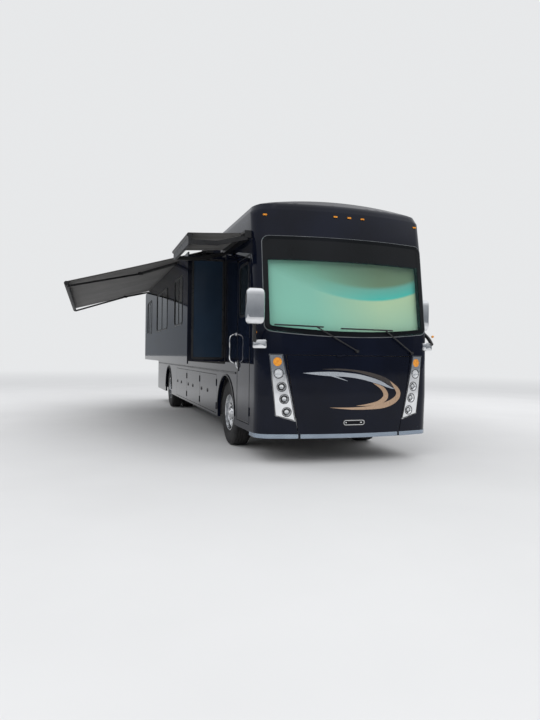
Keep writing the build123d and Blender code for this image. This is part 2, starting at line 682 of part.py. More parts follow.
def tyre(x):
    """One tyre on its wheel's middle plane, as a many-sided loft with a many-sided bore."""
    faces = []
    for across, radius in TYRE_SECTIONS:
        plane = Plane(origin=(x + across, 0, 0), x_dir=(0, 1, 0), z_dir=(1, 0, 0))
        faces.append(plane * RegularPolygon(radius, TYRE_SIDES))
    plane = Plane(origin=(x - 150, 0, 0), x_dir=(0, 1, 0), z_dir=(1, 0, 0))
    bore = RegularPolygon(RIM_RADIUS + GAP, TYRE_SIDES, major_radius=False)
    return loft(faces, ruled=True) - extrude(plane * bore, 300)


def wheel_turn(points, side):
    """Turn an outline of (radius, across) points round the wheel's axle."""
    outline = make_face(Polyline(*[(side * across, r) for r, across in points], close=True))
    return Pos(side * TYRE_X, 0, 0) * revolve(outline, Axis.X, 360)


def front_rim(side):
    """The polished front wheel: barrel, dished disc with hand holes, capped nuts and hub."""
    bore, lip = SPINDLE_RADIUS + GAP, RIM_RADIUS - 18
    points = [(bore, -75), (110, -75), (110, 20), (250, 60), (lip, 60), (lip, -120), (RIM_RADIUS, -120),
              (RIM_RADIUS, 122), (lip, 122), (lip, 78), (240, 78), (180, 40), (130, 40), (110, 100),
              (bore, 100)]
    rim = wheel_turn(points, side)
    rim -= ring_of_rods(side, 210, 19, 20, 110)
    return joined(rim, ring_of_rods(side, 155, 17, 35, 62))


def rear_rims(side):
    """Both wheels of a twin set on one hub: two barrels and the discs that meet between them."""
    bore, lip, inner = REAR_SPINDLE_RADIUS + GAP, RIM_RADIUS - 18, -TWIN_SPACING
    points = [(bore, inner + 130), (120, inner + 130), (120, -190), (240, -190), (240, inner + 20),
              (lip, inner + 20), (lip, inner - 120), (RIM_RADIUS, inner - 120), (RIM_RADIUS, inner + 120),
              (lip, inner + 120), (lip, inner + 60), (262, -168), (lip, -120), (RIM_RADIUS, -120),
              (RIM_RADIUS, 122), (lip, 122), (lip, -90), (240, -150), (130, -150), (120, 60),
              (60, 90), (bore, 90)]
    rim = wheel_turn(points, side)
    rim -= ring_of_rods(side, 212, 19, -200, -100)
    return joined(rim, ring_of_rods(side, 165, 17, -155, -120))


def ring_of_rods(side, ring, radius, across0, across1):
    """Ten round bars on a ring about the axle: capped nuts, or the cuts of the hand holes."""
    bars = []
    x0, x1 = side * (TYRE_X + across0), side * (TYRE_X + across1)
    for i in range(WHEEL_NUTS):
        angle = 2 * pi * i / WHEEL_NUTS
        y, z = ring * cos(angle), ring * sin(angle)
        bars.append(rod((x0, y, z), (x1, y, z), radius))
    return bars


def at_front_axle(shape):
    return Pos(0, FRONT_AXLE_Y, WHEEL_Z) * shape


def at_rear_axle(shape):
    return Pos(0, REAR_AXLE_Y, WHEEL_Z) * shape


def entry_door():
    """The entry door with its window cut, hinged at its front edge."""
    door = box(-HALF_WIDTH, -INSIDE, DOOR_Y0, DOOR_Y1, DOOR_Z0, DOOR_Z1)
    door -= side_window_cut(-1, *DOOR_WINDOW)
    return joined(door, side_hinges(-1, DOOR_Y0, DOOR_HINGES, 1))


def pane(side, y0, y1, z0, z1, x=HALF_WIDTH):
    """One sheet of glass 8 mm thick, 6 mm back from the panel's outer face."""
    return rounded_panel(side * (x - 14), side * (x - 6), y0 + GAP, y1 - GAP, z0 + GAP, z1 - GAP, 80 - GAP)


def side_windows():
    return Compound([pane(*row) for row in SIDE_WINDOWS])


def slide_out(side):
    """A slide-out room: outer wall with its flange, roof, floor and end walls, open to the inside."""
    outer, t, f = HALF_WIDTH + SLIDE_OUT, SLIDE_WALL, FLANGE
    room = box(side * INSIDE, side * outer, SLIDE_Y0, SLIDE_Y1, SLIDE_Z0, SLIDE_Z1)
    x0, x1 = side * (INSIDE - 10), side * (outer - t)
    room -= box(x0, x1, SLIDE_Y0 + t, SLIDE_Y1 - t, SLIDE_Z0 + t, SLIDE_Z1 - t)
    x0, x1 = side * (outer - 4), side * (outer + FLANGE_PROUD)
    room += box(x0, x1, SLIDE_Y0 - f, SLIDE_Y1 + f, SLIDE_Z0 - f, SLIDE_Z1 + f)
    for y0, y1 in SLIDE_WINDOWS:
        room -= rounded_panel(side * (outer - 100), side * (outer + 100), y0, y1, WINDOW_Z0, WINDOW_Z1)
    return room


def slide_glass(side):
    outer = HALF_WIDTH + SLIDE_OUT + FLANGE_PROUD
    return Compound([pane(side, y0, y1, WINDOW_Z0, WINDOW_Z1, outer) for y0, y1 in SLIDE_WINDOWS])


def bay_door(side, y0, y1):
    door = box(side * INSIDE, side * HALF_WIDTH, y0, y1, BAY_Z0, BAY_Z1)
    return joined(door, side_hinges(side, y0, BAY_HINGES, 1))


def generator():
    """The generator's plain block between the rails' front ends."""
    half = RAIL_X - RAIL_WIDTH / 2 - GAP
    return box(-half, half, RAIL_Y0 + 85, 900, 600, 1060)


def engine():
    """The rear engine's plain block with its gearbox, held between the rails."""
    half = RAIL_X - RAIL_WIDTH / 2 - GAP
    block = box(-half, half, ENGINE_Y0, ENGINE_Y1, 470, 1080)
    return block + rod((0, GEARBOX_Y0, 620), (0, ENGINE_Y0 + 10, 620), 170)


def driveshaft():
    return rod((0, REAR_AXLE_Y + 320 + GAP, 520), (0, GEARBOX_Y0 - GAP, 520), 45)


def grab_handle():
    """The tall handle behind the entry door, standing 95 mm out."""
    x, y, out = -HALF_WIDTH - GAP, DOOR_Y1 + 65, 95
    top, foot = 1750, 1310
    bar = rod((x + 30, y, top), (x - out, y, top - 60), 13)
    bar += rod((x + 30, y, foot), (x - out, y, foot + 60), 13)
    bar += rod((x - out, y, foot + 52), (x - out, y, top - 52), 13)
    return bar - box(x, x + 60, y - 50, y + 50, foot - 50, top + 50)


def dashboard():
    """The dashboard across the cab, cut short beside the entry, with a hood before the driver."""
    edge = HALF_WIDTH - 185
    dash = box(-edge, edge, 262, 420, FLOOR_Z + GAP, 1560)
    dash += box(-500, edge, 410, 620, FLOOR_Z + GAP, 1560)
    dash += box(180, 1000, 560, 740, 1400, 1640)
    return dash - at_steering_wheel(Pos(0, 0, -190) * Cylinder(28 + GAP, 400))


def steering_wheel():
    """The wheel on its slanting column, at the driver's side."""
    rim = revolve(Plane.XZ * Pos(215, 0) * RegularPolygon(16, 8), Axis.Z, 360)
    wheel = rim + Cylinder(60, 40) + Box(400, 40, 16) + Box(40, 400, 16)
    return at_steering_wheel(wheel + Pos(0, 0, -190) * Cylinder(28, 360))


def at_steering_wheel(shape):
    """Set a shape made round Z on the slanting steering column."""
    return Pos(600, 900, 1900) * Rot(-35, 0, 0) * shape


def cab_seats():
    """The two cab chairs on their pedestals."""
    seats = []
    for x, y in ((600, 1330), (-560, 1560)):
        chair = box(x - 90, x + 90, y - 120, y + 120, FLOOR_Z + GAP, 1480)
        chair += box(x - 260, x + 260, y - 270, y + 230, 1470, 1620)
        chair += box(x - 255, x + 255, y + 180, y + 300, 1600, 2330)
        seats.append(chair)
    return Compound(seats)


def leveling_jacks():
    """Four levelling jacks drawn up under the rails."""
    jacks = []
    for y in (FRONT_AXLE_Y - 850, REAR_AXLE_Y + 870):
        for side in (-1, 1):
            x = side * (RAIL_X + 20)
            jack = rod((x, y, 330), (x, y, RAIL_Z0 - GAP), 45)
            jacks.append(jack + rod((x, y, 310), (x, y, 335), 110))
    return Compound(jacks)


def hitch_receiver():
    """The square receiver under the tail, hung by two plates from the rails' rear ends."""
    half, bore, y = HITCH_TUBE / 2, HITCH_BORE / 2, REAR_Y - 450
    plate_x = RAIL_X + RAIL_WIDTH / 2 + GAP
    hitch = box(-half, half, y, HITCH_Y1, HITCH_Z - half, HITCH_Z + half)
    hitch += box(-plate_x - 10, plate_x + 10, y + 60, y + 120, HITCH_Z + half - 5, HITCH_Z + half + 60)
    for side in (-1, 1):
        hitch += box(side * plate_x, side * (plate_x + 20), y, y + 180, HITCH_Z, RAIL_Z0 + 120)
    hitch -= box(-bore, bore, HITCH_Y1 - HITCH_MOUTH, HITCH_Y1 + 10, HITCH_Z - bore, HITCH_Z + bore)
    return hitch - rod((-60, HITCH_PIN_Y, HITCH_Z), (60, HITCH_PIN_Y, HITCH_Z), HITCH_PIN_RADIUS)


def awning_z(x, drop=0):
    """Height of the patio awning's slope at one X."""
    run = (x - AWNING_RAIL_X) / (AWNING_CASE_FRONT - AWNING_RAIL_X)
    return AWNING_RAIL_Z + (AWNING_CASE_Z - AWNING_RAIL_Z) * run - drop


def awning_case():
    """The case on the wall that the patio awning rolls out of, with two arm shoulders."""
    wall_x = -HALF_WIDTH - GAP
    case = box(wall_x, AWNING_CASE_FRONT, AWNING_Y0 - 60, AWNING_Y1 + 60, AWNING_CASE_Z - 50, AWNING_CASE_Z + 70)
    for y in (AWNING_Y0 + 150, AWNING_Y1 - 150):
        case += box(wall_x, AWNING_CASE_FRONT, y - 60, y + 60, AWNING_CASE_Z - 135, AWNING_CASE_Z - 40)
    return case


def awning_arms():
    """The two folding arms, each bent at its elbow, and the front rail at their tips."""
    x, z = AWNING_RAIL_X, AWNING_RAIL_Z
    pieces = rod((x, AWNING_Y0 - 40, z), (x, AWNING_Y1 + 40, z), AWNING_RAIL_RADIUS)
    drop, elbow_x = 50, AWNING_CASE_FRONT - 1080
    for y, inward in ((AWNING_Y0 + 150, 1), (AWNING_Y1 - 150, -1)):
        hinge_z = awning_z(AWNING_CASE_FRONT, drop + 20)
        shoulder = (AWNING_CASE_FRONT - 32, y, hinge_z)
        elbow = (elbow_x, y + inward * 620, awning_z(elbow_x, drop))
        tip = (x + 20, y - inward * 60, z - 34)
        arm = flat_bar(shoulder, elbow, 70, 36) + flat_bar(elbow, tip, 55, 32)
        arm += Pos(*elbow) * Cylinder(46, 44)
        arm += box(AWNING_CASE_FRONT - GAP, AWNING_CASE_FRONT - 40, y - 45, y + 45, hinge_z - 35, hinge_z + 30)
        pieces += arm
    return pieces


def cloth_slab(x0, z0, x1, z1, y0, y1):
    """A sloping sheet of cloth as one plain slab."""
    points = [(x0, z0), (x1, z1), (x1, z1 + CLOTH), (x0, z0 + CLOTH)]
    return extrude(front_plane(y1) * make_face(Polyline(*points, close=True)), y1 - y0)


def awning_fabric():
    """The patio awning's cloth between the case and the front rail."""
    x0, x1 = AWNING_CASE_FRONT - GAP, AWNING_RAIL_X + AWNING_RAIL_RADIUS + GAP
    return cloth_slab(x0, AWNING_CASE_Z, x1, AWNING_RAIL_Z, AWNING_Y0, AWNING_Y1)


def door_awning_frame():
    """The small awning over the entry door: case, roller, lead rail and two arms bent at their elbows."""
    y0, y1, case_z, rail_x, rail_z = DOOR_AWNING
    frame = box(-HALF_WIDTH - GAP, DOOR_CASE_FRONT, y0, y1, case_z - 50, case_z + 50)
    frame += rod((rail_x, y0, rail_z), (rail_x, y1, rail_z), 28)
    frame += box(rail_x - 6, rail_x + 36, y0, y1, rail_z - 125, rail_z - 10)
    elbow_x, elbow_z = rail_x + 380, rail_z - 83
    for y in (y0 + 20, y1 - 20):
        frame += flat_bar((DOOR_CASE_FRONT + 40, y, case_z - 45), (elbow_x, y, elbow_z), 26, 60)
        frame += flat_bar((elbow_x, y, elbow_z), (rail_x + 15, y, rail_z - 88), 26, 60)
        frame += rod((elbow_x, y - 17, elbow_z), (elbow_x, y + 17, elbow_z), 32)
    return frame


def door_awning_fabric():
    y0, y1, case_z, rail_x, rail_z = DOOR_AWNING
    return cloth_slab(DOOR_CASE_FRONT - GAP, case_z + 10, rail_x + 28 + GAP, rail_z, y0 + 8, y1 - 8)


def put(name, shape):
    """Keep a node and write it, moved so that the origin is the middle of the outline."""
    nodes[name] = shape
    export_step(Pos(SHIFT_X, SHIFT_Y, 0) * shape, f"parts/{name}.step")


os.makedirs("parts", exist_ok=True)
put("chassis_frame", chassis_frame())
put("front_axle", front_axle())
put("rear_axle", rear_axle())
put("air_springs", air_springs())
put("tie_rod", tie_rod())
put("driveshaft", driveshaft())
put("engine", engine())
put("generator", generator())
put("leveling_jacks", leveling_jacks())
put("hitch_receiver", hitch_receiver())
put("floor", floor())
put("storage_bays", storage_bays())
put("dashboard", dashboard())
put("steering_wheel", steering_wheel())
put("cab_seats", cab_seats())
put("front_cap", front_cap())
put("rear_cap", rear_cap())
put("roof", roof())
put("roof_units", roof_units())
put("windshield", windshield())
put("windshield_blind", windshield_blind())
put("service_hatch", service_hatch())
put("headlamps", headlamps())
put("headlamp_lenses", headlamp_lenses())
put("marker_lamps", marker_lamps())
put("tail_lamps", tail_lamps())
put("mirrors", mirrors())
put("wipers", wipers())
put("engine_door", engine_door())
put("entry_door", entry_door())
put("entry_door_glass", pane(-1, *DOOR_WINDOW))
put("grab_handle", grab_handle())
put("side_windows", side_windows())
put("awning_case", awning_case())
put("awning_arms", awning_arms())
put("awning_fabric", awning_fabric())
put("door_awning_frame", door_awning_frame())
put("door_awning_fabric", door_awning_fabric())
for side, word in ((-1, "right"), (1, "left")):
    put(f"side_wall_{word}", side_wall(side))
    put(f"slide_out_{word}", slide_out(side))
    put(f"slide_glass_{word}", slide_glass(side))
    put(f"knuckle_{word}", knuckle(side))
    put(f"front_tyre_{word}", at_front_axle(tyre(side * TYRE_X)))
    put(f"front_rim_{word}", at_front_axle(front_rim(side)))
    twin = [tyre(side * TYRE_X), tyre(side * (TYRE_X - TWIN_SPACING))]
    put(f"rear_tyres_{word}", at_rear_axle(Compound(twin)))
    put(f"rear_rims_{word}", at_rear_axle(rear_rims(side)))
    for number, (y0, y1) in enumerate(BAY_DOORS, 1):
        put(f"bay_door_{word}_{number}", bay_door(side, y0, y1))
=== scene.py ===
import json
from math import asin, cos, pi, radians, sin, sqrt

import bpy
from mathutils import Matrix, Vector


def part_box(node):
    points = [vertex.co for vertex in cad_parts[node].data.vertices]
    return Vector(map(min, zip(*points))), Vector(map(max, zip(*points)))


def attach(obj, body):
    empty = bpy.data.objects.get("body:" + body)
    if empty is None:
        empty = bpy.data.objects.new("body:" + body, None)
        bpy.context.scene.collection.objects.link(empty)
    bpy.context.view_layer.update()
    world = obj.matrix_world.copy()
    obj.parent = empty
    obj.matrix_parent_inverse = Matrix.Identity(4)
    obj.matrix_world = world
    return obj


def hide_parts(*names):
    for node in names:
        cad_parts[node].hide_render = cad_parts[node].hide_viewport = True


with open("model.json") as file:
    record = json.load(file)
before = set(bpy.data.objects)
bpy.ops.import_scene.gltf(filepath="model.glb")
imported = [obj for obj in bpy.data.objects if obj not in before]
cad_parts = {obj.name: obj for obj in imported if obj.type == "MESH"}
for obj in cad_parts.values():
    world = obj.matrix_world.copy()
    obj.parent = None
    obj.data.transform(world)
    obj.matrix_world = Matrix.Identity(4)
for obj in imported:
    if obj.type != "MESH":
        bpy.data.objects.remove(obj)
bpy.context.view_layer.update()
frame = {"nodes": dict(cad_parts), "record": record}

# The coach's own frame has X = 0 on its middle plane, Y = 0 near its front corners, the ground at Z = 0.
FRONT_AXLE_Y = 1.85
LEFT_TYRE, RIGHT_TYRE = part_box("front_tyre_left"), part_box("front_tyre_right")
TYRE_MIDDLE_Y = (LEFT_TYRE[0][1] + LEFT_TYRE[1][1]) / 2
SHIFT = Vector(((LEFT_TYRE[1][0] + RIGHT_TYRE[0][0]) / 2, TYRE_MIDDLE_Y - FRONT_AXLE_Y, 0))

# Sizes of the body, in metres.
HALF_WIDTH = 1.285
FRONT_Y = -0.15
REAR_Y = 11.35
BOW_RADIUS = 4.3
CORNER_RADIUS = 0.23
CAP_BACK_Y = 0.4
REAR_AXLE_Y = 8.75
WHEEL_Z = 0.515
ARCH_RADIUS = 0.59
TYRE_X = 1.095
TWIN_SPACING = 0.335
# How far the front leans back at each height. Columns: Z, how far back.
LEAN = [(0.345, 0.025), (0.9, 0.0), (1.74, 0.015), (2.98, 0.2), (3.4, 0.285), (3.5, 0.345)]

# The camera of the photograph, fitted to the coach's corners, lamps and wheels.
CAMERA_AT = (-3.387, -7.199, 1.4375)
CAMERA_YAW, CAMERA_PITCH, CAMERA_ROLL = radians(17.42), radians(-0.47), radians(0.754)
FOCAL_PX = 578.6
FRAME_PX = 540
SENSOR_MM = 36
FAR_LIMIT = 900

UP = Vector((0, 0, 1))
# The coach's two sides, and the word for each in the names of pieces and bodies.
BOTH_SIDES = ((-1, "right"), (1, "left"))


def at(x, y, z):
    """A place in the coach's own frame, moved into the part's frame."""
    return Vector((x, y, z)) + SHIFT


def new_object(name, data):
    """An object for this data, in the scene."""
    thing = bpy.data.objects.new(name, data)
    bpy.context.scene.collection.objects.link(thing)
    return thing


def make_camera():
    """The photograph's view."""
    yaw, pitch, roll = CAMERA_YAW, CAMERA_PITCH, CAMERA_ROLL
    ahead = Vector((sin(yaw) * cos(pitch), cos(yaw) * cos(pitch), sin(pitch)))
    right = Vector((cos(yaw), -sin(yaw), 0))
    up = right.cross(ahead)
    right, up = right * cos(roll) + up * sin(roll), up * cos(roll) - right * sin(roll)
    camera = new_object("camera", bpy.data.cameras.new("camera"))
    camera.data.sensor_fit = "HORIZONTAL"
    camera.data.sensor_width = SENSOR_MM
    camera.data.lens = SENSOR_MM * FOCAL_PX / FRAME_PX
    camera.data.clip_end = FAR_LIMIT
    turn = Matrix((right, up, -ahead)).transposed().to_4x4()
    camera.matrix_world = Matrix.Translation(at(*CAMERA_AT)) @ turn
    bpy.context.scene.camera = camera


# Where a noise's values lie, and where a colour ramp over it starts and ends.
NOISE_RANGE = (0.3, 0.7)
RAMP_RANGE = (0.35, 0.65)


class Tree:
    """A short way to build a node tree."""

    def __init__(self, tree):
        self.tree = tree

    def feed(self, node, inputs):
        """Give inputs, by name or by number, a plain value or another node's output."""
        for key, value in inputs.items():
            socket = node.inputs[key.replace("_", " ") if isinstance(key, str) else key]
            if isinstance(value, bpy.types.NodeSocket):
                self.tree.links.new(value, socket)
            else:
                socket.default_value = value

    def add(self, kind, **inputs):
        node = self.tree.nodes.new(kind)
        self.feed(node, inputs)
        return node

    def maths(self, operation, *values):
        """A sum, difference or product of two values."""
        node = self.add("ShaderNodeMath")
        node.operation = operation
        self.feed(node, dict(enumerate(values)))
        return node.outputs["Value"]

    def ramp(self, source, rows):
        """A colour that follows a value. Columns: value, colour."""
        node = self.add("ShaderNodeValToRGB", Fac=source)
        points = node.color_ramp.elements
        for point, (place, colour) in zip(points, (rows[0], rows[-1])):
            point.position, point.color = place, (*colour, 1)
        for place, colour in rows[1:-1]:
            points.new(place).color = (*colour, 1)
        return node.outputs["Color"]

    def mix(self, factor, first, second):
        """From one colour to another, as a factor goes from 0 to 1."""
        node = self.add("ShaderNodeMix", Factor=factor)
        node.data_type = "RGBA"
        places = {socket.name: i for i, socket in enumerate(node.inputs) if socket.type == "RGBA"}
        self.feed(node, {places["A"]: first, places["B"]: second})
        return next(socket for socket in node.outputs if socket.type == "RGBA")


class Nodes(Tree):
    """One material's node tree."""

    def __init__(self, name):
        self.material = bpy.data.materials.new(name)
        self.material.use_nodes = True
        super().__init__(self.material.node_tree)
        self.shader = self.tree.nodes["Principled BSDF"]
        self.place = self.add("ShaderNodeTexCoord").outputs["Object"]

    def set(self, **inputs):
        self.feed(self.shader, inputs)
        return self.material

    def noise(self, scale, detail=3.0):
        return self.add("ShaderNodeTexNoise", Vector=self.place, Scale=scale, Detail=detail).outputs["Fac"]

    def wave(self, scale):
        return self.add("ShaderNodeTexWave", Vector=self.place, Scale=scale).outputs["Fac"]

    def colour(self, scale, *ends):
        """Let the base colour wander between two."""
        self.set(Base_Color=self.ramp(self.noise(scale), list(zip(RAMP_RANGE, ends))))

    def roughness(self, scale, low, high):
        """Let the roughness wander between two values."""
        first, last = NOISE_RANGE
        node = self.add("ShaderNodeMapRange", Value=self.noise(scale), From_Min=first, From_Max=last,
                        To_Min=low, To_Max=high)
        self.set(Roughness=node.outputs["Result"])

    def bump(self, source, height, strength):
        node = self.add("ShaderNodeBump", Height=source, Strength=strength, Distance=height)
        self.set(Normal=node.outputs["Normal"])


def painted(name, dark, light, rough=(0.04, 0.07), metallic=0.0):
    """Glossy coach paint under a clear coat, faintly uneven in colour and polish."""
    n = Nodes(name)
    n.colour(1.4, dark, light)
    n.roughness(9.0, *rough)
    n.bump(n.noise(40.0, 1.0), 0.0002, 0.08)
    return n.set(Metallic=metallic, Coat_Weight=0.04, Coat_Roughness=0.03, Specular_IOR_Level=0.17)


def metal(name, dark, light, rough):
    """Bright metal with a slightly uneven polish."""
    n = Nodes(name)
    n.colour(7.0, dark, light)
    n.roughness(22.0, *rough)
    return n.set(Metallic=1.0)


def plain(name, dark, light, rough=(0.5, 0.7), grain=180.0, depth=0.0006):
    """Moulded plastic, rubber or satin paint with a fine grain."""
    n = Nodes(name)
    n.colour(5.0, dark, light)
    n.roughness(30.0, *rough)
    n.bump(n.noise(grain, 2.0), depth, 0.4)
    return n.material


def glass(name, tint, opacity):
    """Tinted safety glass, seen through as far as its opacity leaves."""
    n = Nodes(name)
    n.colour(1.2, tint, [c * 1.1 for c in tint])
    n.roughness(6.0, 0.02, 0.05)
    return n.set(Alpha=opacity, Coat_Weight=0.5, Coat_Roughness=0.02)


def lens(name, dark, light):
    """A moulded lamp lens with fine ribs."""
    n = Nodes(name)
    n.colour(40.0, dark, light)
    n.bump(n.wave(60.0), 0.001, 0.4)
    return n.set(Roughness=0.12, Coat_Weight=0.6)


def woven(name, dark, light):
    """Coated awning cloth: a fine crossed weave over soft mottling."""
    n = Nodes(name)
    n.colour(2.5, dark, light)
    n.roughness(14.0, 0.75, 0.92)
    n.bump(n.wave(45.0), 0.0006, 0.3)
    return n.set(Sheen_Weight=0.2)


# The windshield blind's colours on its left and on its right half; the olive towards its top is painted
# shade, and the teal band on the right half is a painted shadow. Columns: metres up, colour.
BLIND_LEFT = [(0.0, (0.4, 0.9, 0.7)), (0.4, (0.38, 0.84, 0.66)), (0.65, (0.25, 0.56, 0.4)),
              (1.0, (0.15, 0.27, 0.19))]
BLIND_RIGHT = [(0.0, (0.6, 0.96, 0.68)), (0.4, (0.74, 1.0, 0.62)), (0.43, (0.1, 0.8, 0.68)),
               (0.56, (0.2, 0.66, 0.54)), (0.62, (0.22, 0.35, 0.2)), (1.0, (0.15, 0.22, 0.12))]
# The height these start from, the X where the bands are lowest, and how much they rise 1 m from it.
BLIND_FOOT_Z = 1.79
BLIND_LOW_X = 0.27
BLIND_RISE = 0.22
# The left colours turn into the right ones over a metre that starts this far before that X.
BLIND_BLEND = 0.8


def blind_cloth():
    """The blind: pale green at its foot, olive painted shade towards its top, and a sagging teal band of
    painted shadow on its right half.
    """
    n = Nodes("blind_cloth")
    split = n.add("ShaderNodeSeparateXYZ", Vector=n.place)
    across = n.maths("SUBTRACT", split.outputs["X"], SHIFT.x + BLIND_LOW_X)
    rise = n.maths("MULTIPLY", n.maths("MULTIPLY", across, across), BLIND_RISE)
    level = n.maths("SUBTRACT", n.maths("SUBTRACT", split.outputs["Z"], BLIND_FOOT_Z), rise)
    halves = [n.ramp(level, rows) for rows in (BLIND_LEFT, BLIND_RIGHT)]
    n.set(Base_Color=n.mix(n.maths("ADD", across, BLIND_BLEND), *halves))
    n.roughness(12.0, 0.5, 0.7)
    n.bump(n.noise(3.0), 0.01, 0.3)
    return n.material


PAINT = painted("coach_paint", (0.003, 0.0042, 0.01), (0.0046, 0.0066, 0.016))
# The slide-outs' end panels: a lighter blue-grey than the coach's paint, as painted reflection of the sky.
PANEL_PAINT_AND_REFLECTION = painted("slide_panel_paint_and_reflection", (0.014, 0.026, 0.045), (0.02, 0.036, 0.06), (0.1, 0.18))
SILVER = painted("silver_stripe", (0.42, 0.45, 0.5), (0.55, 0.58, 0.62), (0.2, 0.3), 0.6)
BRONZE = painted("bronze_stripe", (0.06, 0.052, 0.05), (0.085, 0.075, 0.07), (0.22, 0.32), 0.4)
TAN = painted("tan_stripe", (0.44, 0.3, 0.2), (0.56, 0.39, 0.27), (0.22, 0.32), 0.3)
# The foot strip is metallic; its steel-blue tint is painted reflection of the sky.
LIP = painted("lip_strip", (0.26, 0.31, 0.38), (0.34, 0.4, 0.47), (0.16, 0.24), 0.7)
STEEL = plain("chassis_steel", (0.02, 0.02, 0.022), (0.035, 0.035, 0.038), (0.4, 0.6))
PANEL = plain("inner_panel", (0.42, 0.38, 0.33), (0.5, 0.46, 0.4))
SIDE_GLASS = glass("side_glass", (0.012, 0.016, 0.018), 0.82)
FRONT_GLASS = glass("front_glass", (0.03, 0.1, 0.09), 0.14)
CLEAR = glass("clear_lens", (0.8, 0.82, 0.84), 0.22)
BLIND = blind_cloth()
CHROME = metal("polished_chrome", (0.78, 0.79, 0.81), (0.88, 0.89, 0.9), (0.03, 0.09))
ALLOY = metal("polished_alloy", (0.66, 0.67, 0.69), (0.8, 0.81, 0.82), (0.12, 0.25))
RUBBER = plain("tyre_rubber", (0.01, 0.01, 0.011), (0.022, 0.021, 0.021), (0.65, 0.85), 90.0, 0.001)
AMBER = lens("amber_lens", (0.75, 0.25, 0.01), (0.95, 0.38, 0.02))
RED = lens("red_lens", (0.35, 0.01, 0.01), (0.5, 0.02, 0.02))
# The awning cloth is darkened below its own colour with painted shade, for its underside in shadow.
CLOTH_AND_SHADE = woven("awning_cloth", (0.055, 0.051, 0.047), (0.085, 0.079, 0.072))
FRIT = painted("black_glass_border", (0.004, 0.005, 0.006), (0.007, 0.008, 0.01))
BLACK = plain("black_paint", (0.006, 0.006, 0.007), (0.012, 0.012, 0.013), (0.25, 0.4))
GREY = plain("grey_trim", (0.1, 0.11, 0.12), (0.16, 0.17, 0.18), (0.3, 0.45))
# Near-black for the patio awning's arms and case: painted shade in place of their bright metal.
AWNING_METAL_SHADE = plain("awning_metal_shade", (0.004, 0.004, 0.005), (0.008, 0.008, 0.009), (0.55, 0.7))
LINING = plain("bay_lining", (0.11, 0.11, 0.112), (0.16, 0.16, 0.162))
ENGINE = plain("engine_paint", (0.06, 0.06, 0.063), (0.1, 0.1, 0.105))
ROOF_PLASTIC = plain("roof_plastic", (0.62, 0.62, 0.6), (0.7, 0.7, 0.68))
LEATHER = plain("seat_leather", (0.3, 0.24, 0.18), (0.37, 0.3, 0.23), (0.4, 0.6), 320.0, 0.0015)
PLATE = plain("blank_plate", (0.55, 0.56, 0.57), (0.62, 0.63, 0.64), (0.35, 0.5))

# The record's material slots and what each shows as.
SLOT_MATERIALS = {
    "body_paint": PAINT, "chassis_steel": STEEL, "interior_panel": PANEL, "window_glass": SIDE_GLASS,
    "blind_cloth": BLIND, "polished_metal": CHROME, "polished_aluminium": ALLOY, "spring_rubber": RUBBER,
    "tyre_rubber": RUBBER, "amber_lens": AMBER, "red_lens": RED, "awning_cloth": CLOTH_AND_SHADE,
    "black_metal": BLACK, "clear_lens": CLEAR,
    "engine_paint": ENGINE, "roof_plastic": ROOF_PLASTIC, "seat_leather": LEATHER,
}
# A piece's slot by its material. The scene's own materials go with the body paint.
MATERIAL_SLOTS = {material.name: slot for slot, material in SLOT_MATERIALS.items()}
# CAD nodes that show as something else than their slot. The patio awning's arms and case show near-black as
# painted shade.
NODE_MATERIALS = {
    "windshield": FRONT_GLASS, "awning_arms": AWNING_METAL_SHADE, "awning_case": AWNING_METAL_SHADE,
    "storage_bays": LINING,
}
# Points nearer than this are merged. Edges that turn by more than these angles stay sharp.
MERGE_DISTANCE = 0.00005
CAD_SHARP = radians(28)
PIECE_SHARP = radians(32)


def smoothing():
    """Geometry nodes that merge a mesh's doubled points and shade its curved faces smooth."""
    group = bpy.data.node_groups.new("smooth_curves", "GeometryNodeTree")
    for way in ("INPUT", "OUTPUT"):
        group.interface.new_socket("Geometry", in_out=way, socket_type="NodeSocketGeometry")
    tree = Tree(group)
    angle = tree.add("GeometryNodeInputMeshEdgeAngle").outputs["Unsigned Angle"]
    sharp = tree.add("FunctionNodeCompare", A=angle, B=CAD_SHARP)
    sharp.operation = "GREATER_THAN"
    mesh = tree.add("NodeGroupInput").outputs["Geometry"]
    merge = tree.add("GeometryNodeMergeByDistance", Geometry=mesh, Distance=MERGE_DISTANCE)
    faces = tree.add("GeometryNodeSetShadeSmooth", Geometry=merge.outputs["Geometry"])
    edges = tree.add("GeometryNodeSetShadeSmooth", Geometry=faces.outputs["Geometry"],
                     Selection=sharp.outputs["Result"], Shade_Smooth=False)
    edges.domain = "EDGE"
    tree.add("NodeGroupOutput", Geometry=edges.outputs["Geometry"])
    return group


def dress_nodes():
    """Give every CAD node its finish, with smooth shading on its curved faces."""
    slots = {row["node"]: row["material_slot"] for row in frame["record"]["subparts"]}
    tree = smoothing()
    for name, obj in frame["nodes"].items():
        obj.data.materials.clear()
        obj.data.materials.append(NODE_MATERIALS.get(name, SLOT_MATERIALS[slots[name]]))
        obj.modifiers.new("smooth_curves", "NODES").node_group = tree


def evenly(first, last, count):
    """Even steps from one value to another, with both of them."""
    return [first + (last - first) * i / count for i in range(count + 1)]


def full_turn(steps):
    """Even angles all the way round."""
    return evenly(0, 2 * pi, steps)[:-1]


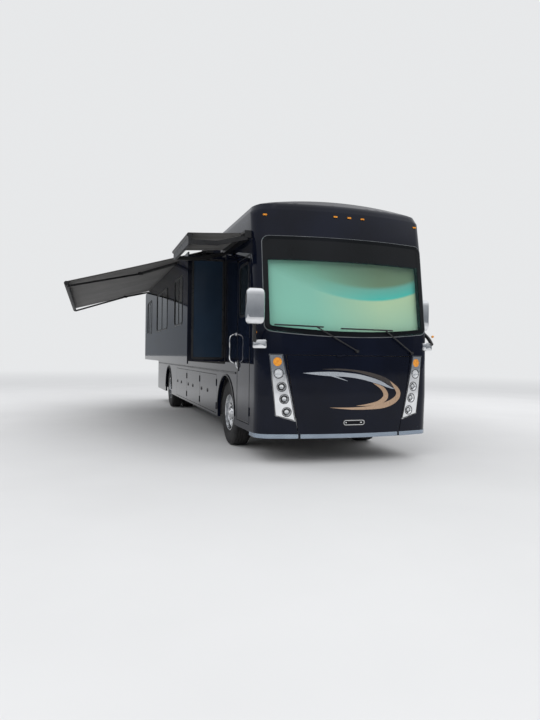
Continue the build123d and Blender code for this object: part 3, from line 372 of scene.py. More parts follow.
class Shape:
    """Points and faces gathered into one piece."""

    def __init__(self):
        self.points, self.faces = [], []

    def rings(self, rings, around=True, loop=False):
        """Join rings of points, each to the next, with a flat cap at both ends of a closed tube."""
        start, size, count = len(self.points), len(rings[0]), len(rings)
        for ring in rings:
            self.points.extend(ring)
        for i in range(count if loop else count - 1):
            a, b = start + i * size, start + (i + 1) % count * size
            for j in range(size if around else size - 1):
                k = (j + 1) % size
                self.faces.append((a + j, a + k, b + k, b + j))
        if around and not loop:
            self.faces.append(tuple(range(start + size - 1, start - 1, -1)))
            self.faces.append(tuple(range(start + (count - 1) * size, start + count * size)))
        return self

    def sweep(self, path, outs, outline, widths=None, loop=False):
        """Carry an outline of (across, out) offsets along a path, with one way out or one for each point."""
        if isinstance(outs, Vector):
            outs = [outs] * len(path)
        rings, last = [], len(path) - 1
        for i, point in enumerate(path):
            before = path[i - 1] if i or loop else path[0]
            after = path[(i + 1) % len(path)] if i < last or loop else path[-1]
            across = outs[i].cross(after - before).normalized()
            width = widths[i] if widths else 1
            rings.append([point + across * u * width + outs[i] * v for u, v in outline])
        return self.rings(rings, loop=loop)

    def turned(self, centre, axis, profile, steps=32, loop=False):
        """Turn a profile of (radius, along) points round an axis."""
        axis = axis.normalized()
        side = axis.orthogonal().normalized()
        up = axis.cross(side)
        ways = [side * cos(angle) + up * sin(angle) for angle in full_turn(steps)]
        rings = [[centre + axis * along + way * radius for way in ways] for radius, along in profile]
        return self.rings(rings, loop=loop)

    def block(self, low, high):
        """A block between two corners, in the coach's frame. The piece's bevel rounds its edges."""
        x0, y0, z0 = (min(a, b) for a, b in zip(low, high))
        x1, y1, z1 = (max(a, b) for a, b in zip(low, high))
        rings = [[at(x0, y0, z), at(x1, y0, z), at(x1, y1, z), at(x0, y1, z)] for z in (z0, z1)]
        return self.rings(rings)

    def slab(self, middle, across, out, size, radius, depth, ease=0.003):
        """A round-cornered plate on a surface, given the ways across it and out of it. Its rim is eased."""
        up = out.cross(across)
        w, h = size[0] / 2, size[1] / 2
        rings = []
        for inset, height in ((0, 0), (0, depth - ease), (ease * 0.3, depth - ease * 0.3), (ease, depth)):
            loop = rounded_loop(inset - w, w - inset, inset - h, h - inset, radius - inset * 0.5)
            rings.append([middle + across * u + up * v + out * height for u, v in loop])
        return self.rings(rings)

    def make(self, name, material, body="coach", bevel=0.0, slot=None):
        """Turn what was gathered into an object that rides on a body."""
        mesh = bpy.data.meshes.new(name)
        mesh.from_pydata([tuple(p) for p in self.points], [], self.faces)
        mesh.materials.append(material)
        mesh.shade_smooth()
        mesh.set_sharp_from_angle(angle=PIECE_SHARP)
        piece = new_object(name, mesh)
        if bevel:
            edge = piece.modifiers.new("edge", "BEVEL")
            edge.width, edge.segments, edge.limit_method = bevel, 2, "ANGLE"
        slot = slot or MATERIAL_SLOTS.get(material.name, "body_paint")
        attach(piece, body)
        return piece


def strip(width, thick):
    """A flat strip's outline for sweep."""
    return [(-width / 2, 0), (width / 2, 0), (width / 2, thick), (-width / 2, thick)]


def round_bar(radius, steps=8):
    """A round bar's outline for sweep."""
    return [(radius * cos(angle), radius * sin(angle)) for angle in full_turn(steps)]


def face_y(x, z):
    """Y of the bowed front face at one place."""
    for low, high in zip(LEAN, LEAN[1:]):
        if z <= high[0]:
            back = low[1] + (high[1] - low[1]) * (z - low[0]) / (high[0] - low[0])
            return FRONT_Y + back + BOW_RADIUS - sqrt(BOW_RADIUS**2 - x**2)


def face_out(x):
    """Which way is out of the bowed front face."""
    return Vector((x / BOW_RADIUS, -sqrt(1 - (x / BOW_RADIUS) ** 2), 0))


def on_face(x, z, proud=0.0):
    """A place on the bowed front, in the part's frame."""
    return at(x, face_y(x, z), z) + face_out(x) * proud


def face_path(points, proud=0.0):
    """Places on the bowed front and the way out of it at each, for a sweep."""
    return [on_face(x, z, proud) for x, z in points], [face_out(x) for x, z in points]


def divided(loop, step):
    """Add points to a closed loop, so that they lie about a step apart."""
    result = []
    for a, b in zip(loop, loop[1:] + loop[:1]):
        a, b = Vector(a), Vector(b)
        count = max(1, round((b - a).length / step))
        result += evenly(a, b, count)[:-1]
    return result


def curved(points, steps=6):
    """A smooth line through a few points, its slope at each point set by the neighbours."""
    points = [Vector(p) for p in points]
    full = [points[0] * 2 - points[1]] + points + [points[-1] * 2 - points[-2]]
    result = []
    for a, b, c, d in zip(full, full[1:], full[2:], full[3:]):
        for t in evenly(0, 1, steps)[:-1]:
            result.append((b * 2 + (c - a) * t + (a * 2 - b * 5 + c * 4 - d) * t**2
                           + (b * 3 - a - c * 3 + d) * t**3) / 2)
    return result + [points[-1]]


def rounded_loop(x0, x1, z0, z1, radius, steps=6):
    """A rectangle's outline with round corners, as flat points."""
    points = []
    for cx, cz, first in ((x1 - radius, z1 - radius, 0), (x0 + radius, z1 - radius, 90),
                          (x0 + radius, z0 + radius, 180), (x1 - radius, z0 + radius, 270)):
        for angle in evenly(radians(first), radians(first + 90), steps):
            points.append((cx + radius * cos(angle), cz + radius * sin(angle)))
    return points


# The front window's outline. Its foot sags towards the middle, over the height given last.
GLASS_HALF = HALF_WIDTH - 0.09
GLASS_FOOT, GLASS_TOP = 1.695, 3.035
GLASS_CORNER = 0.09
GLASS_SAG, SAG_HEIGHT = 0.07, 0.3
# The black header band behind its top: half its width, and the heights of its rows of points.
HEADER_HALF = HALF_WIDTH - 0.155
HEADER_ROWS = (2.72, 2.8, 2.9, 2.99)


def windshield_loop(inset):
    """The front window's outline, moved inwards."""
    x, z0, z1 = GLASS_HALF - inset, GLASS_FOOT + inset, GLASS_TOP - inset
    result = []
    for u, v in divided(rounded_loop(-x, x, z0, z1, GLASS_CORNER - inset * 0.5), 0.1):
        low = max(0.0, 1 - (v - z0) / SAG_HEIGHT)
        result.append((u, v + GLASS_SAG * (u / x) ** 2 * low))
    return result


def add_windshield_trim():
    """The glass's black painted border and header band, and the grey gasket round it."""
    for name, inset, outline, material in [
        ("windshield_border", 0.035, strip(0.07, 0.0015), FRIT),
        ("windshield_gasket", -0.004, round_bar(0.005), GREY),
    ]:
        band = Shape().sweep(*face_path(windshield_loop(inset), 0.001), outline, loop=True)
        band.make(name, material, slot="black_metal")
    rows = [[on_face(x, z, 0.0008) for x in evenly(-HEADER_HALF, HEADER_HALF, 24)] for z in HEADER_ROWS]
    Shape().rings(rows, around=False).make("windshield_header", FRIT, slot="black_metal")


# The painted sweep on the front hatch. Columns: X, Z, width.
SILVER_SWEEP = [(-0.698, 1.21, 0.003), (-0.505, 1.205, 0.04), (-0.291, 1.199, 0.06), (-0.106, 1.19, 0.056),
                (0.124, 1.159, 0.059), (0.386, 1.09, 0.055), (0.535, 1.032, 0.031), (0.646, 0.993, 0.003)]
SILVER_STRAND = [(-0.353, 1.179, 0.003), (-0.232, 1.154, 0.015), (-0.082, 1.106, 0.003)]
BRONZE_ARC = [(-0.437, 1.262, 0.003), (-0.198, 1.261, 0.021), (0.057, 1.238, 0.028), (0.281, 1.19, 0.049),
              (0.48, 1.125, 0.062), (0.609, 1.05, 0.055), (0.67, 0.985, 0.003)]
TAN_ARC = [(0.567, 1.107, 0.003), (0.661, 1.019, 0.05), (0.708, 0.95, 0.07), (0.69, 0.878, 0.076),
           (0.596, 0.813, 0.077), (0.438, 0.768, 0.07), (0.221, 0.744, 0.044), (-0.029, 0.739, 0.028),
           (-0.322, 0.753, 0.003)]
TAN_CRESCENT = [(0.299, 1.078, 0.003), (0.429, 1.017, 0.047), (0.49, 0.95, 0.07), (0.497, 0.891, 0.08),
                (0.446, 0.84, 0.066), (0.357, 0.805, 0.046), (0.193, 0.783, 0.023), (0.052, 0.774, 0.003)]
# The stripes as film. Columns: name, line, material, how far off the face its underside lies.
STRIPES = [
    ("silver_sweep", SILVER_SWEEP, SILVER, 0.0024), ("silver_strand", SILVER_STRAND, SILVER, 0.0018),
    ("bronze_arc", BRONZE_ARC, BRONZE, 0.0006), ("tan_arc", TAN_ARC, TAN, 0.0012),
    ("tan_crescent", TAN_CRESCENT, TAN, 0.0018),
]
FILM_THICK = 0.0008
NARROWEST = 0.002


def add_front_stripes():
    """The silver, bronze and tan sweep on the hatch, as raised film that follows the bow."""
    for name, rows, material, proud in STRIPES:
        line = curved(rows)
        path, outs = face_path([(x, z) for x, z, width in line], proud)
        widths = [max(width, NARROWEST) for x, z, width in line]
        Shape().sweep(path, outs, strip(1, FILM_THICK), widths).make(name, material, "service_hatch")


# The strip along the front's foot: its height, half its middle length, and where its side lengths start.
LIP_Z, LIP_HALF, LIP_SIDE_X = 0.374, 0.715, 0.745
LIP_STRIP = strip(0.056, 0.004)


def front_corner(side):
    """The lip's line from the front face round one corner: points and the ways out at them."""
    last_x = (HALF_WIDTH - CORNER_RADIUS) / (1 - CORNER_RADIUS / BOW_RADIUS)
    path, outs = face_path([(side * x, LIP_Z) for x in evenly(LIP_SIDE_X, last_x, 6)])
    middle = path[-1] - outs[-1] * CORNER_RADIUS
    for angle in evenly(asin(last_x / BOW_RADIUS), pi / 2, 8)[1:]:
        outs.append(Vector((side * sin(angle), -cos(angle), 0)))
        path.append(middle + outs[-1] * CORNER_RADIUS)
    path.append(Vector((path[-1].x, at(0, CAP_BACK_Y, 0).y, path[-1].z)))
    return path, outs + [outs[-1]]


def add_front_lip():
    """The metallic strip along the front's foot, its steel-blue tint a painted sky reflection: one length on
    the hatch, one round each corner.
    """
    sides = Shape()
    for side in (1, -1):
        sides.sweep(*front_corner(side), LIP_STRIP)
    sides.make("front_lip_sides", LIP, bevel=0.0015)
    middle = Shape().sweep(*face_path([(x, LIP_Z) for x in evenly(-LIP_HALF, LIP_HALF, 16)]), LIP_STRIP)
    middle.make("front_lip_middle", LIP, "service_hatch", bevel=0.0015)


# The hatch's slot: first X, last X, bottom, top. Its ring's outline, and the tow hooks in it.
SLOT = (-0.128, 0.172, 0.52, 0.58)
SLOT_RING = [(-0.004, 0.004), (0.004, 0.004), (0.003, 0.009), (-0.003, 0.009)]
HOOKS = [(-0.09, 0.55), (0.134, 0.55)]
HOOK = [(0.012, 0), (0.018, 0.006), (0.018, 0.02), (0.008, 0.028)]


def add_hatch_slot():
    """The hatch slot's black border and bright ring, and the two tow hooks in it."""
    path, outs = face_path(rounded_loop(*SLOT, 0.029, 8))
    border = Shape().sweep(path, outs, strip(0.03, 0.006), loop=True)
    border.make("hatch_slot_border", BLACK, "service_hatch", 0.002)
    ring = Shape().sweep(path, outs, SLOT_RING, loop=True)
    for x, z in HOOKS:
        ring.turned(on_face(x, z, -0.03), face_out(x), HOOK, 20)
    ring.make("hatch_slot_ring", CHROME, "service_hatch")


# The corners of a lamp bezel, a little inside its edge. Columns: X, Z.
BEZEL = [(0.972, 1.448), (1.132, 1.448), (1.045, 0.65), (0.795, 0.583)]


def add_bezel_edges():
    """The thin dark line round each lamp bezel."""
    edges = Shape()
    for side in (-1, 1):
        loop = []
        for (x0, z0), (x1, z1) in zip(BEZEL, BEZEL[1:] + BEZEL[:1]):
            loop += [(side * x, z) for x, z in zip(evenly(x0, x1, 10), evenly(z0, z1, 10))][:-1]
        edges.sweep(*face_path(loop), strip(0.009, 0.003), loop=True)
    edges.make("bezel_edges", BLACK)


# Round lamps down each bezel. Columns: X, Z.
LAMPS = [(1.015, 1.2), (0.976, 1.027), (0.94, 0.867), (0.904, 0.697)]
# Outlines that are turned round a lamp's axis. Columns: radius, how far out.
LAMP_SEAT = [(0.058, -0.04), (0.066, 0.0005), (0.066, 0.003), (0.058, 0.003)]
LAMP_BOWL = [(0.0575, -0.045), (0.0575, 0.001), (0.053, 0.004), (0.049, -0.001), (0.046, -0.006),
             (0.038, -0.012), (0.028, -0.015), (0.004, -0.016)]
FROSTED_LENS = [(0.052, -0.01), (0.052, 0.001), (0.043, 0.006), (0.022, 0.009), (0.002, 0.01)]
DARK_RING = [(0.035, -0.016), (0.035, -0.006), (0.029, -0.006), (0.029, -0.016)]
PROJECTOR = [(0.028, -0.016), (0.028, -0.006), (0.024, 0.001), (0.015, 0.005), (0.002, 0.006)]


def add_headlamps():
    """Lamps with a black seat and a bright bowl. The top one is frosted, the others have a projector."""
    seats, bowls, lenses = Shape(), Shape(), Shape()
    for side in (-1, 1):
        for number, (x, z) in enumerate(LAMPS):
            place, out = on_face(side * x, z), face_out(side * x)
            seats.turned(place, out, LAMP_SEAT, loop=True)
            bowls.turned(place, out, LAMP_BOWL, 36)
            if number == 0:
                lenses.turned(place, out, FROSTED_LENS)
            else:
                seats.turned(place, out, DARK_RING, loop=True)
                lenses.turned(place, out, PROJECTOR, 28)
    bowls = bowls.make("headlamp_bowls", CHROME)
    seats.make("headlamp_seats", BLACK)
    lenses.make("headlamp_projectors", CLEAR)
    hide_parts("headlamp_lenses")


# A rounded block stops this angle short of its poles.
POLE_GAP = 0.02


def superformed(centre, half, power, rings=14, steps=28):
    """A rounded block: rings of points on a box-like egg, in the coach's frame."""
    def bent(value):
        return (abs(value) ** power) * (1 if value >= 0 else -1)
    result = []
    for tilt in evenly(-pi / 2, pi / 2, rings):
        tilt = max(POLE_GAP - pi / 2, min(pi / 2 - POLE_GAP, tilt))
        ring = []
        for turn in full_turn(steps):
            offset = (bent(cos(tilt)) * bent(cos(turn)), bent(cos(tilt)) * bent(sin(turn)), bent(sin(tilt)))
            ring.append(at(*(c + h * o for c, h, o in zip(centre, half, offset))))
        result.append(ring)
    return result


# The door mirrors' heads, the driver's one folded back. Columns: side, middle Y, half the size along X and Y.
MIRRORS = [(-1, -0.11, 0.12, 0.075), (1, 0.43, 0.075, 0.12)]
MIRROR_X, MIRROR_Z, MIRROR_HALF_HEIGHT = 1.375, 2.06, 0.23
MIRROR_FOOT = (1.222, 0.1, 1.585)
MIRROR_FOOT_TURN = radians(31)
STEM_FOOT = (1.33, 0.06, 1.62)
# The two glasses of a head. Columns: how far above the head's middle, height.
MIRROR_GLASSES = [(0.07, 0.25), (-0.135, 0.12)]
MIRROR_LAMP_AT = (1.322, 0.02, 1.735)
MIRROR_LAMP = [(0.017, -0.02), (0.017, 0), (0.008, 0.008)]


def on_side(side, x, y, z):
    """A place given for the driver's side, on either side."""
    return at(side * x, y, z)


def add_mirrors():
    """The bright mirror heads with their glasses, black stems, bright feet and small amber lamps."""
    heads, glasses, stems, feet, lamps = Shape(), Shape(), Shape(), Shape(), Shape()
    for side, y, half_x, half_y in MIRRORS:
        head = on_side(side, MIRROR_X, y, MIRROR_Z)
        heads.rings(superformed((side * MIRROR_X, y, MIRROR_Z), (half_x, half_y, MIRROR_HALF_HEIGHT), 0.32))
        back = Vector((0, 1, 0)) if side < 0 else Vector((-1, 0, 0))
        across = UP.cross(back)
        for above, height in MIRROR_GLASSES:
            glasses.slab(head + back * 0.071 + UP * above, across, back, (0.19, height), 0.03, 0.006)
        foot, top = on_side(side, *STEM_FOOT), head - UP * (MIRROR_HALF_HEIGHT - 0.02)
        path = curved([foot, foot + (top - foot) * 0.3 + UP * 0.02, foot + (top - foot) * 0.75, top], 5)
        stems.sweep(path, Vector((side, 0, 0)), round_bar(0.026, 14))
        out = Vector((side * sin(MIRROR_FOOT_TURN), -cos(MIRROR_FOOT_TURN), 0))
        feet.slab(on_side(side, *MIRROR_FOOT), UP.cross(out), out, (0.19, 0.118), 0.022, 0.085, 0.012)
        lamps.turned(on_side(side, *MIRROR_LAMP_AT), Vector((0, -1, 0.2)), MIRROR_LAMP, 18)
    heads = heads.make("mirror_heads", CHROME)
    glasses.make("mirror_glasses", CHROME)
    stems.make("mirror_stems", BLACK)
    feet.make("mirror_feet", CHROME)
    lamps.make("mirror_lamps", AMBER)
    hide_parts("mirrors")


def side_place(side, y, z, proud=0.0, x=HALF_WIDTH):
    """A place on a side wall, in the part's frame."""
    return at(side * (x + proud), y, z)


def add_loop(shape, side, row, radius, outline, x=HALF_WIDTH):
    """A trim loop round one window or door on a side wall. The row is first Y, last Y, bottom and top."""
    loop = rounded_loop(*row, radius)
    shape.sweep([side_place(side, y, z, 0, x) for y, z in loop], Vector((side, 0, 0)), outline, loop=True)


def wall_plate(shape, side, loop, low, high):
    """A flat plate on a side wall, between two distances off it."""
    shape.rings([[side_place(side, y, z, proud) for y, z in loop] for proud in (low, high)])


def end_plate(shape, loop, first_y, last_y):
    """A flat plate across the coach, between two places along it."""
    shape.rings([[at(x, y, z) for x, z in loop] for y in (first_y, last_y)])


# Windows and the door. Columns: first Y, last Y, bottom, top, after the side for those of the walls.
SLIDE_Y0, SLIDE_Y1 = 1.97, 8.95
SLIDE_X = HALF_WIDTH + 0.618
SLIDE_WINDOWS = [(2.45, 3.36, 1.95, 2.75), (4.4, 6.2, 1.95, 2.75), (7.35, 8.35, 1.95, 2.75)]
WALL_WINDOWS = [(1, (0.56, 1.5, 1.8, 2.6)), (1, (9.5, 10.3, 2.05, 2.75)), (-1, (9.5, 10.3, 2.05, 2.75))]
DOOR_WINDOW = (0.52, 1.02, 1.99, 2.72)
DOOR = (0.43, 1.13, 0.49, 2.82)
WINDOW_CORNER = 0.08
BAR_HALF = 0.014
# The handle behind the entry door. Columns of an end: how far out, how far from the end.
HANDLE_Y = DOOR[1] + 0.065
HANDLE_TOP, HANDLE_FOOT = 1.745, 1.315
HANDLE_END = [(-0.004, 0), (0.05, 0.01), (0.094, 0.06)]
HANDLE_FLANGE = [(0.026, 0), (0.026, 0.006), (0.014, 0.014)]


def add_grab_handle():
    """The bright handle behind the entry door, a smooth bow of tube between two feet."""
    rows = [(proud, HANDLE_TOP - away) for proud, away in HANDLE_END]
    rows.append((HANDLE_END[-1][0], (HANDLE_TOP + HANDLE_FOOT) / 2))
    rows += [(proud, HANDLE_FOOT + away) for proud, away in reversed(HANDLE_END)]
    path = curved([side_place(-1, HANDLE_Y, z, proud) for proud, z in rows], 6)
    handle = Shape().sweep(path, Vector((0, 1, 0)), round_bar(0.0125, 14))
    for z in (HANDLE_TOP, HANDLE_FOOT):
        handle.turned(side_place(-1, HANDLE_Y, z), Vector((-1, 0, 0)), HANDLE_FLANGE, 24)
    handle = handle.make("entry_handle", CHROME)
    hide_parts("grab_handle")


def add_sliding_window(frames, side, row, x=HALF_WIDTH):
    """A window's frame, and the upright bar of its sliding pane."""
    add_loop(frames, side, row, WINDOW_CORNER, strip(0.034, 0.007), x)
    y0, y1, z0, z1 = row
    y = (y0 + y1) / 2
    frames.block((side * (x - 0.02), y - BAR_HALF, z0), (side * (x + 0.001), y + BAR_HALF, z1))


def add_window_frames():
    """Black frames round the side windows and the door's window."""
    for side, word in BOTH_SIDES:
        frames = Shape()
        for row in SLIDE_WINDOWS:
            add_sliding_window(frames, side, row, SLIDE_X)
        frames.make(f"slide_window_frames_{word}", BLACK, f"slide_out_{word}", 0.002)
    walls = Shape()
    for side, row in WALL_WINDOWS:
        add_sliding_window(walls, side, row)
    walls.make("wall_window_frames", BLACK, bevel=0.002)
    door = Shape()
    add_loop(door, -1, DOOR_WINDOW, WINDOW_CORNER, strip(0.034, 0.006))
    door.make("door_window_frame", BLACK, "entry_door", 0.002)


# The door's latch plate: first Y, last Y, bottom, top. Its lever: Y, Z and how far out.
LATCH = (1.02, 1.1, 1.2, 1.36)
LEVER = [(1.045, 1.24, 0.012), (1.05, 1.27, 0.028), (1.06, 1.32, 0.028)]
DOOR_SEAL_INSET = 0.012


def add_door_hardware():
    """The entry door's latch plate with its lever, and the dark seal round the door."""
    latch = Shape()
    wall_plate(latch, -1, rounded_loop(*LATCH, 0.02), 0.0, 0.01)
    latch.make("door_latch_plate", BLACK, "entry_door", 0.003)
    path = curved([side_place(-1, *place) for place in LEVER], 4)
    bar = Shape().sweep(path, Vector((-1, 0, 0)), round_bar(0.009, 10))
    bar.make("door_lever", CHROME, "entry_door")
    seal = Shape()
    row = [edge + way * DOOR_SEAL_INSET for edge, way in zip(DOOR, (1, -1, 1, -1))]
    add_loop(seal, -1, row, 0.02, strip(0.012, 0.003))
    seal.make("door_seal", BLACK, "entry_door")


# The moulding along each side. It starts behind the entry door on the right. Columns: side, first Y.
MOULDINGS = [(-1, 1.2), (1, 0.45)]
MOULDING_END, MOULDING_Z = 11.05, 1.165
ARCH_TRIM = ARCH_RADIUS + 0.012


def add_side_trim():
    """The dark moulding along each side, and the wheel arches' rims."""
    trim = Shape()
    angles = evenly(0, pi, 24)
    for side, start in MOULDINGS:
        out = Vector((side, 0, 0))
        line = [side_place(side, y, MOULDING_Z) for y in evenly(start, MOULDING_END, 8)]
        trim.sweep(line, out, strip(0.03, 0.009))
        for y in (FRONT_AXLE_Y, REAR_AXLE_Y):
            arc = [side_place(side, y + ARCH_TRIM * cos(a), WHEEL_Z + ARCH_TRIM * sin(a)) for a in angles]
            trim.sweep(arc, out, strip(0.026, 0.012))
    trim.make("side_trim", BLACK, bevel=0.003)


# Each compartment's last Y, and how far before it its two latches sit.
BAY_ENDS = [4.1 + i * 1.57 for i in range(3)]
LATCH_AT = (0.16, 0.75)
# A latch's plate and its paddle. Columns: half its length, bottom, top, corner radius, lowest and highest.
BAY_LATCH = [(0.055, 0.745, 0.815, 0.018, 0.0, 0.006), (0.035, 0.76, 0.79, 0.01, 0.005, 0.013)]


def add_bay_latches():
    """Two latches on each compartment door."""
    for side, word in BOTH_SIDES:
        for number, end in enumerate(BAY_ENDS, 1):
            latches = Shape()
            for before in LATCH_AT:
                y = end - before
                for half, z0, z1, radius, low, high in BAY_LATCH:
                    wall_plate(latches, side, rounded_loop(y - half, y + half, z0, z1, radius), low, high)
            latches.make(f"bay_latches_{word}_{number}", BLACK, f"bay_door_{word}_{number}", 0.002)


# The panel on a slide-out's end walls: nearer X, farther X, bottom, top.
END_PANEL = (1.315, 1.815, 1.375, 2.955)
# The seal round a slide-out's opening: how far before and behind it, its foot and its top.
SEAL_GAP = 0.028
SEAL_FOOT, SEAL_TOP = 1.302, 3.038


def add_slide_panels():
    """The framed panels on the slide-outs' end walls, their blue-grey a painted sky reflection, and the seals
    round their openings.
    """
    near, far, foot, top = END_PANEL
    for side, word in BOTH_SIDES:
        panels, borders, seal = Shape(), Shape(), Shape()
        loop = rounded_loop(*sorted((side * near, side * far)), foot, top, 0.03)
        for y, out in ((SLIDE_Y0, -1), (SLIDE_Y1, 1)):
            end_plate(panels, loop, y, y + out * 0.003)
            path = [at(x, y, z) for x, z in loop]
            borders.sweep(path, Vector((0, out, 0)), strip(0.036, 0.008), loop=True)
        panels.make(f"slide_end_panels_{word}", PANEL_PAINT_AND_REFLECTION, f"slide_out_{word}")
        borders.make(f"slide_end_frames_{word}", BLACK, f"slide_out_{word}", 0.002)
        row = (SLIDE_Y0 - SEAL_GAP, SLIDE_Y1 + SEAL_GAP, SEAL_FOOT, SEAL_TOP)
        add_loop(seal, side, row, 0.03, strip(0.034, 0.0045))
        seal.make(f"slide_seal_{word}", RUBBER, bevel=0.003, slot="spring_rubber")


# The patio awning's cloth and the door awning's. Columns: first Y, last Y, wall X and Z, front X and Z.
PATIO = (3.01, 9.19, -1.402, 3.294, -3.77, 2.621)
DOOR_CLOTH = (0.43, 1.81, -1.382, 3.097, -2.15, 3.0445)
PATIO_SAG, DOOR_SAG = 0.03, 0.012
RIPPLE = 0.004
CLOTH_ACROSS, CLOTH_ALONG = 40, 26
CLOTH_THICK = 0.0016
HEM_HALF, HEM_THICK = 0.012, 0.0012
# The patio roller's end caps and the arms' pivots. Columns of an outline: radius, how far along.
ROLLER = (-3.75, 2.588)
ROLLER_ENDS = [(2.97, -1), (9.23, 1)]
ROLLER_CAP = [(0.036, -0.09), (0.0375, -0.06), (0.0375, -0.012), (0.03, -0.002)]
PIVOTS = [(-2.48, 3.77, 2.937), (-2.48, 8.43, 2.937)]
PIVOT = [(0.05, -0.012), (0.05, 0.0), (0.044, 0.006), (0.018, 0.008), (0.018, 0.014)]


def cloth_sheet(row, sag):
    """A sheet held along two edges that sags between them, as lines of points, and its length."""
    y0, y1, wall_x, wall_z, front_x, front_z = row
    grid = []
    for u in evenly(0, 1, CLOTH_ALONG):
        line = []
        for v in evenly(0, 1, CLOTH_ACROSS):
            ends = (4 * v * (1 - v)) ** 1.5
            dip = sag * 4 * u * (1 - u) * (0.25 + 0.75 * ends) + RIPPLE * sin(9 * pi * v) * sin(pi * u)
            x, z = wall_x + (front_x - wall_x) * u, wall_z + (front_z - wall_z) * u - dip
            line.append(at(x, y0 + (y1 - y0) * v, z))
        grid.append(line)
    middle = [line[CLOTH_ACROSS // 2] for line in grid]
    return grid, sum((b - a).length for a, b in zip(middle, middle[1:]))


def add_cloth(name, row, sag, node):
    """One awning's cloth with its hems."""
    grid, length = cloth_sheet(row, sag)
    sheet = Shape().rings(grid, around=False).make(name, CLOTH_AND_SHADE)
    thick = sheet.modifiers.new("thickness", "SOLIDIFY")
    thick.thickness, thick.offset = CLOTH_THICK, 0
    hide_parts(node)
    hems = Shape()
    for j, inward in ((0, 1), (CLOTH_ACROSS, -1)):
        line = [points[j] + Vector((0, inward * HEM_HALF, -HEM_THICK)) for points in grid]
        hems.sweep(line, -UP, strip(2 * HEM_HALF, HEM_THICK))
    hems = hems.make(name + "_hems", CLOTH_AND_SHADE)


def add_awnings():
    """Both cloths, the roller's end caps and the arms' pivots."""
    add_cloth("patio_awning_cloth", PATIO, PATIO_SAG, "awning_fabric")
    add_cloth("door_awning_cloth", DOOR_CLOTH, DOOR_SAG, "door_awning_fabric")
    caps = Shape()
    for y, out in ROLLER_ENDS:
        caps.turned(at(ROLLER[0], y, ROLLER[1]), Vector((0, out, 0)), ROLLER_CAP, 28)
    for place in PIVOTS:
        caps.turned(at(*place), UP, PIVOT, 24)
    caps.make("awning_caps", BLACK)


# A tyre's outline across its width. Columns: radius, distance from its middle plane.
TYRE_SIDE = [(0.2875, 0.118), (0.3, 0.128), (0.312, 0.126), (0.33, 0.134), (0.4, 0.1425), (0.43, 0.1435),
             (0.46, 0.139), (0.488, 0.131), (0.505, 0.12)]
TREAD_RADIUS = 0.5148
TREAD_EDGE = (0.5125, 0.112)
GROOVES = (0.088, 0.045, 0.0, -0.045, -0.088)
GROOVE_HALF = 0.0055
GROOVE_DEPTH = 0.011
# Shoulder grooves: from which radius and how far out across the tyre, and how deep.
SHOULDER = (0.498, 0.1)
SHOULDER_DEPTH = 0.009


def tyre_profile():
    """One tyre's closed outline: both sidewalls, the tread and its grooves."""
    edge, across = TREAD_EDGE
    tread = [(edge, across)]
    floor = TREAD_RADIUS - GROOVE_DEPTH
    for middle in GROOVES:
        tread += [(TREAD_RADIUS, middle + GROOVE_HALF), (floor, middle + GROOVE_HALF * 0.5),
                  (floor, middle - GROOVE_HALF * 0.5), (TREAD_RADIUS, middle - GROOVE_HALF)]
    tread += [(edge, -across)]
    return TYRE_SIDE + tread + [(r, -a) for r, a in reversed(TYRE_SIDE)]


def tyre_rings(x, y, steps=108):
    """Rings of one tyre round its axle. Every third ring is a shoulder groove between two lugs."""
    profile = tyre_profile()
    rings = []
    for i, angle in enumerate(full_turn(steps)):
        ring = []
        for radius, across in profile:
            if i % 3 == 0 and radius > SHOULDER[0] and abs(across) > SHOULDER[1]:
                radius -= SHOULDER_DEPTH
            ring.append(at(x + across, y + radius * cos(angle), WHEEL_Z + radius * sin(angle)))
        rings.append(ring)
    return rings


def add_tyres():
    """Tyres with ribs, shoulder lugs and moulded sidewalls."""
    for side, word in BOTH_SIDES:
        front = Shape().rings(tyre_rings(side * TYRE_X, FRONT_AXLE_Y), loop=True)
        front = front.make(f"front_tread_{word}", RUBBER, f"front_wheel_{word}")
        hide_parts(f"front_tyre_{word}")
        rear = Shape()
        for x in (TYRE_X, TYRE_X - TWIN_SPACING):
            rear.rings(tyre_rings(side * x, REAR_AXLE_Y), loop=True)
        rear = rear.make(f"rear_treads_{word}", RUBBER, f"rear_wheels_{word}")
        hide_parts(f"rear_tyres_{word}")


# Outlines of the wheels' bright parts. Columns: radius, how far out of the outer wheel's middle plane.
FRONT_CAP = [(0.098, 0.095), (0.098, 0.104), (0.09, 0.112), (0.07, 0.116), (0.066, 0.128), (0.05, 0.134),
             (0.004, 0.136)]
REAR_CAP = [(0.11, 0.05), (0.11, 0.07), (0.1, 0.082), (0.062, 0.096), (0.05, 0.112), (0.004, 0.114)]
RIM_BEAD = [(0.286, 0.115), (0.286, 0.125), (0.279, 0.128), (0.268, 0.124), (0.268, 0.115)]
# Columns: start of the piece's name, start of its body's name, Y, outline.
HUBS = [("front_hub_cap", "front_wheel", FRONT_AXLE_Y, FRONT_CAP),
        ("rear_hub_cap", "rear_wheels", REAR_AXLE_Y, REAR_CAP)]


def add_hub_caps():
    """A bright cap over each hub, and a bright bead on each outer rim's lip."""
    for side, word in BOTH_SIDES:
        axle = Vector((side, 0, 0))
        for name, wheel, y, outline in HUBS:
            hub = on_side(side, TYRE_X, y, WHEEL_Z)
            cap = Shape().turned(hub, axle, outline, 36).turned(hub, axle, RIM_BEAD, 64, True)
            cap.make(f"{name}_{word}", CHROME, f"{wheel}_{word}")


# The cab chairs. Columns: middle X and Y of each.
CHAIRS = [(0.6, 1.33), (-0.56, 1.56)]
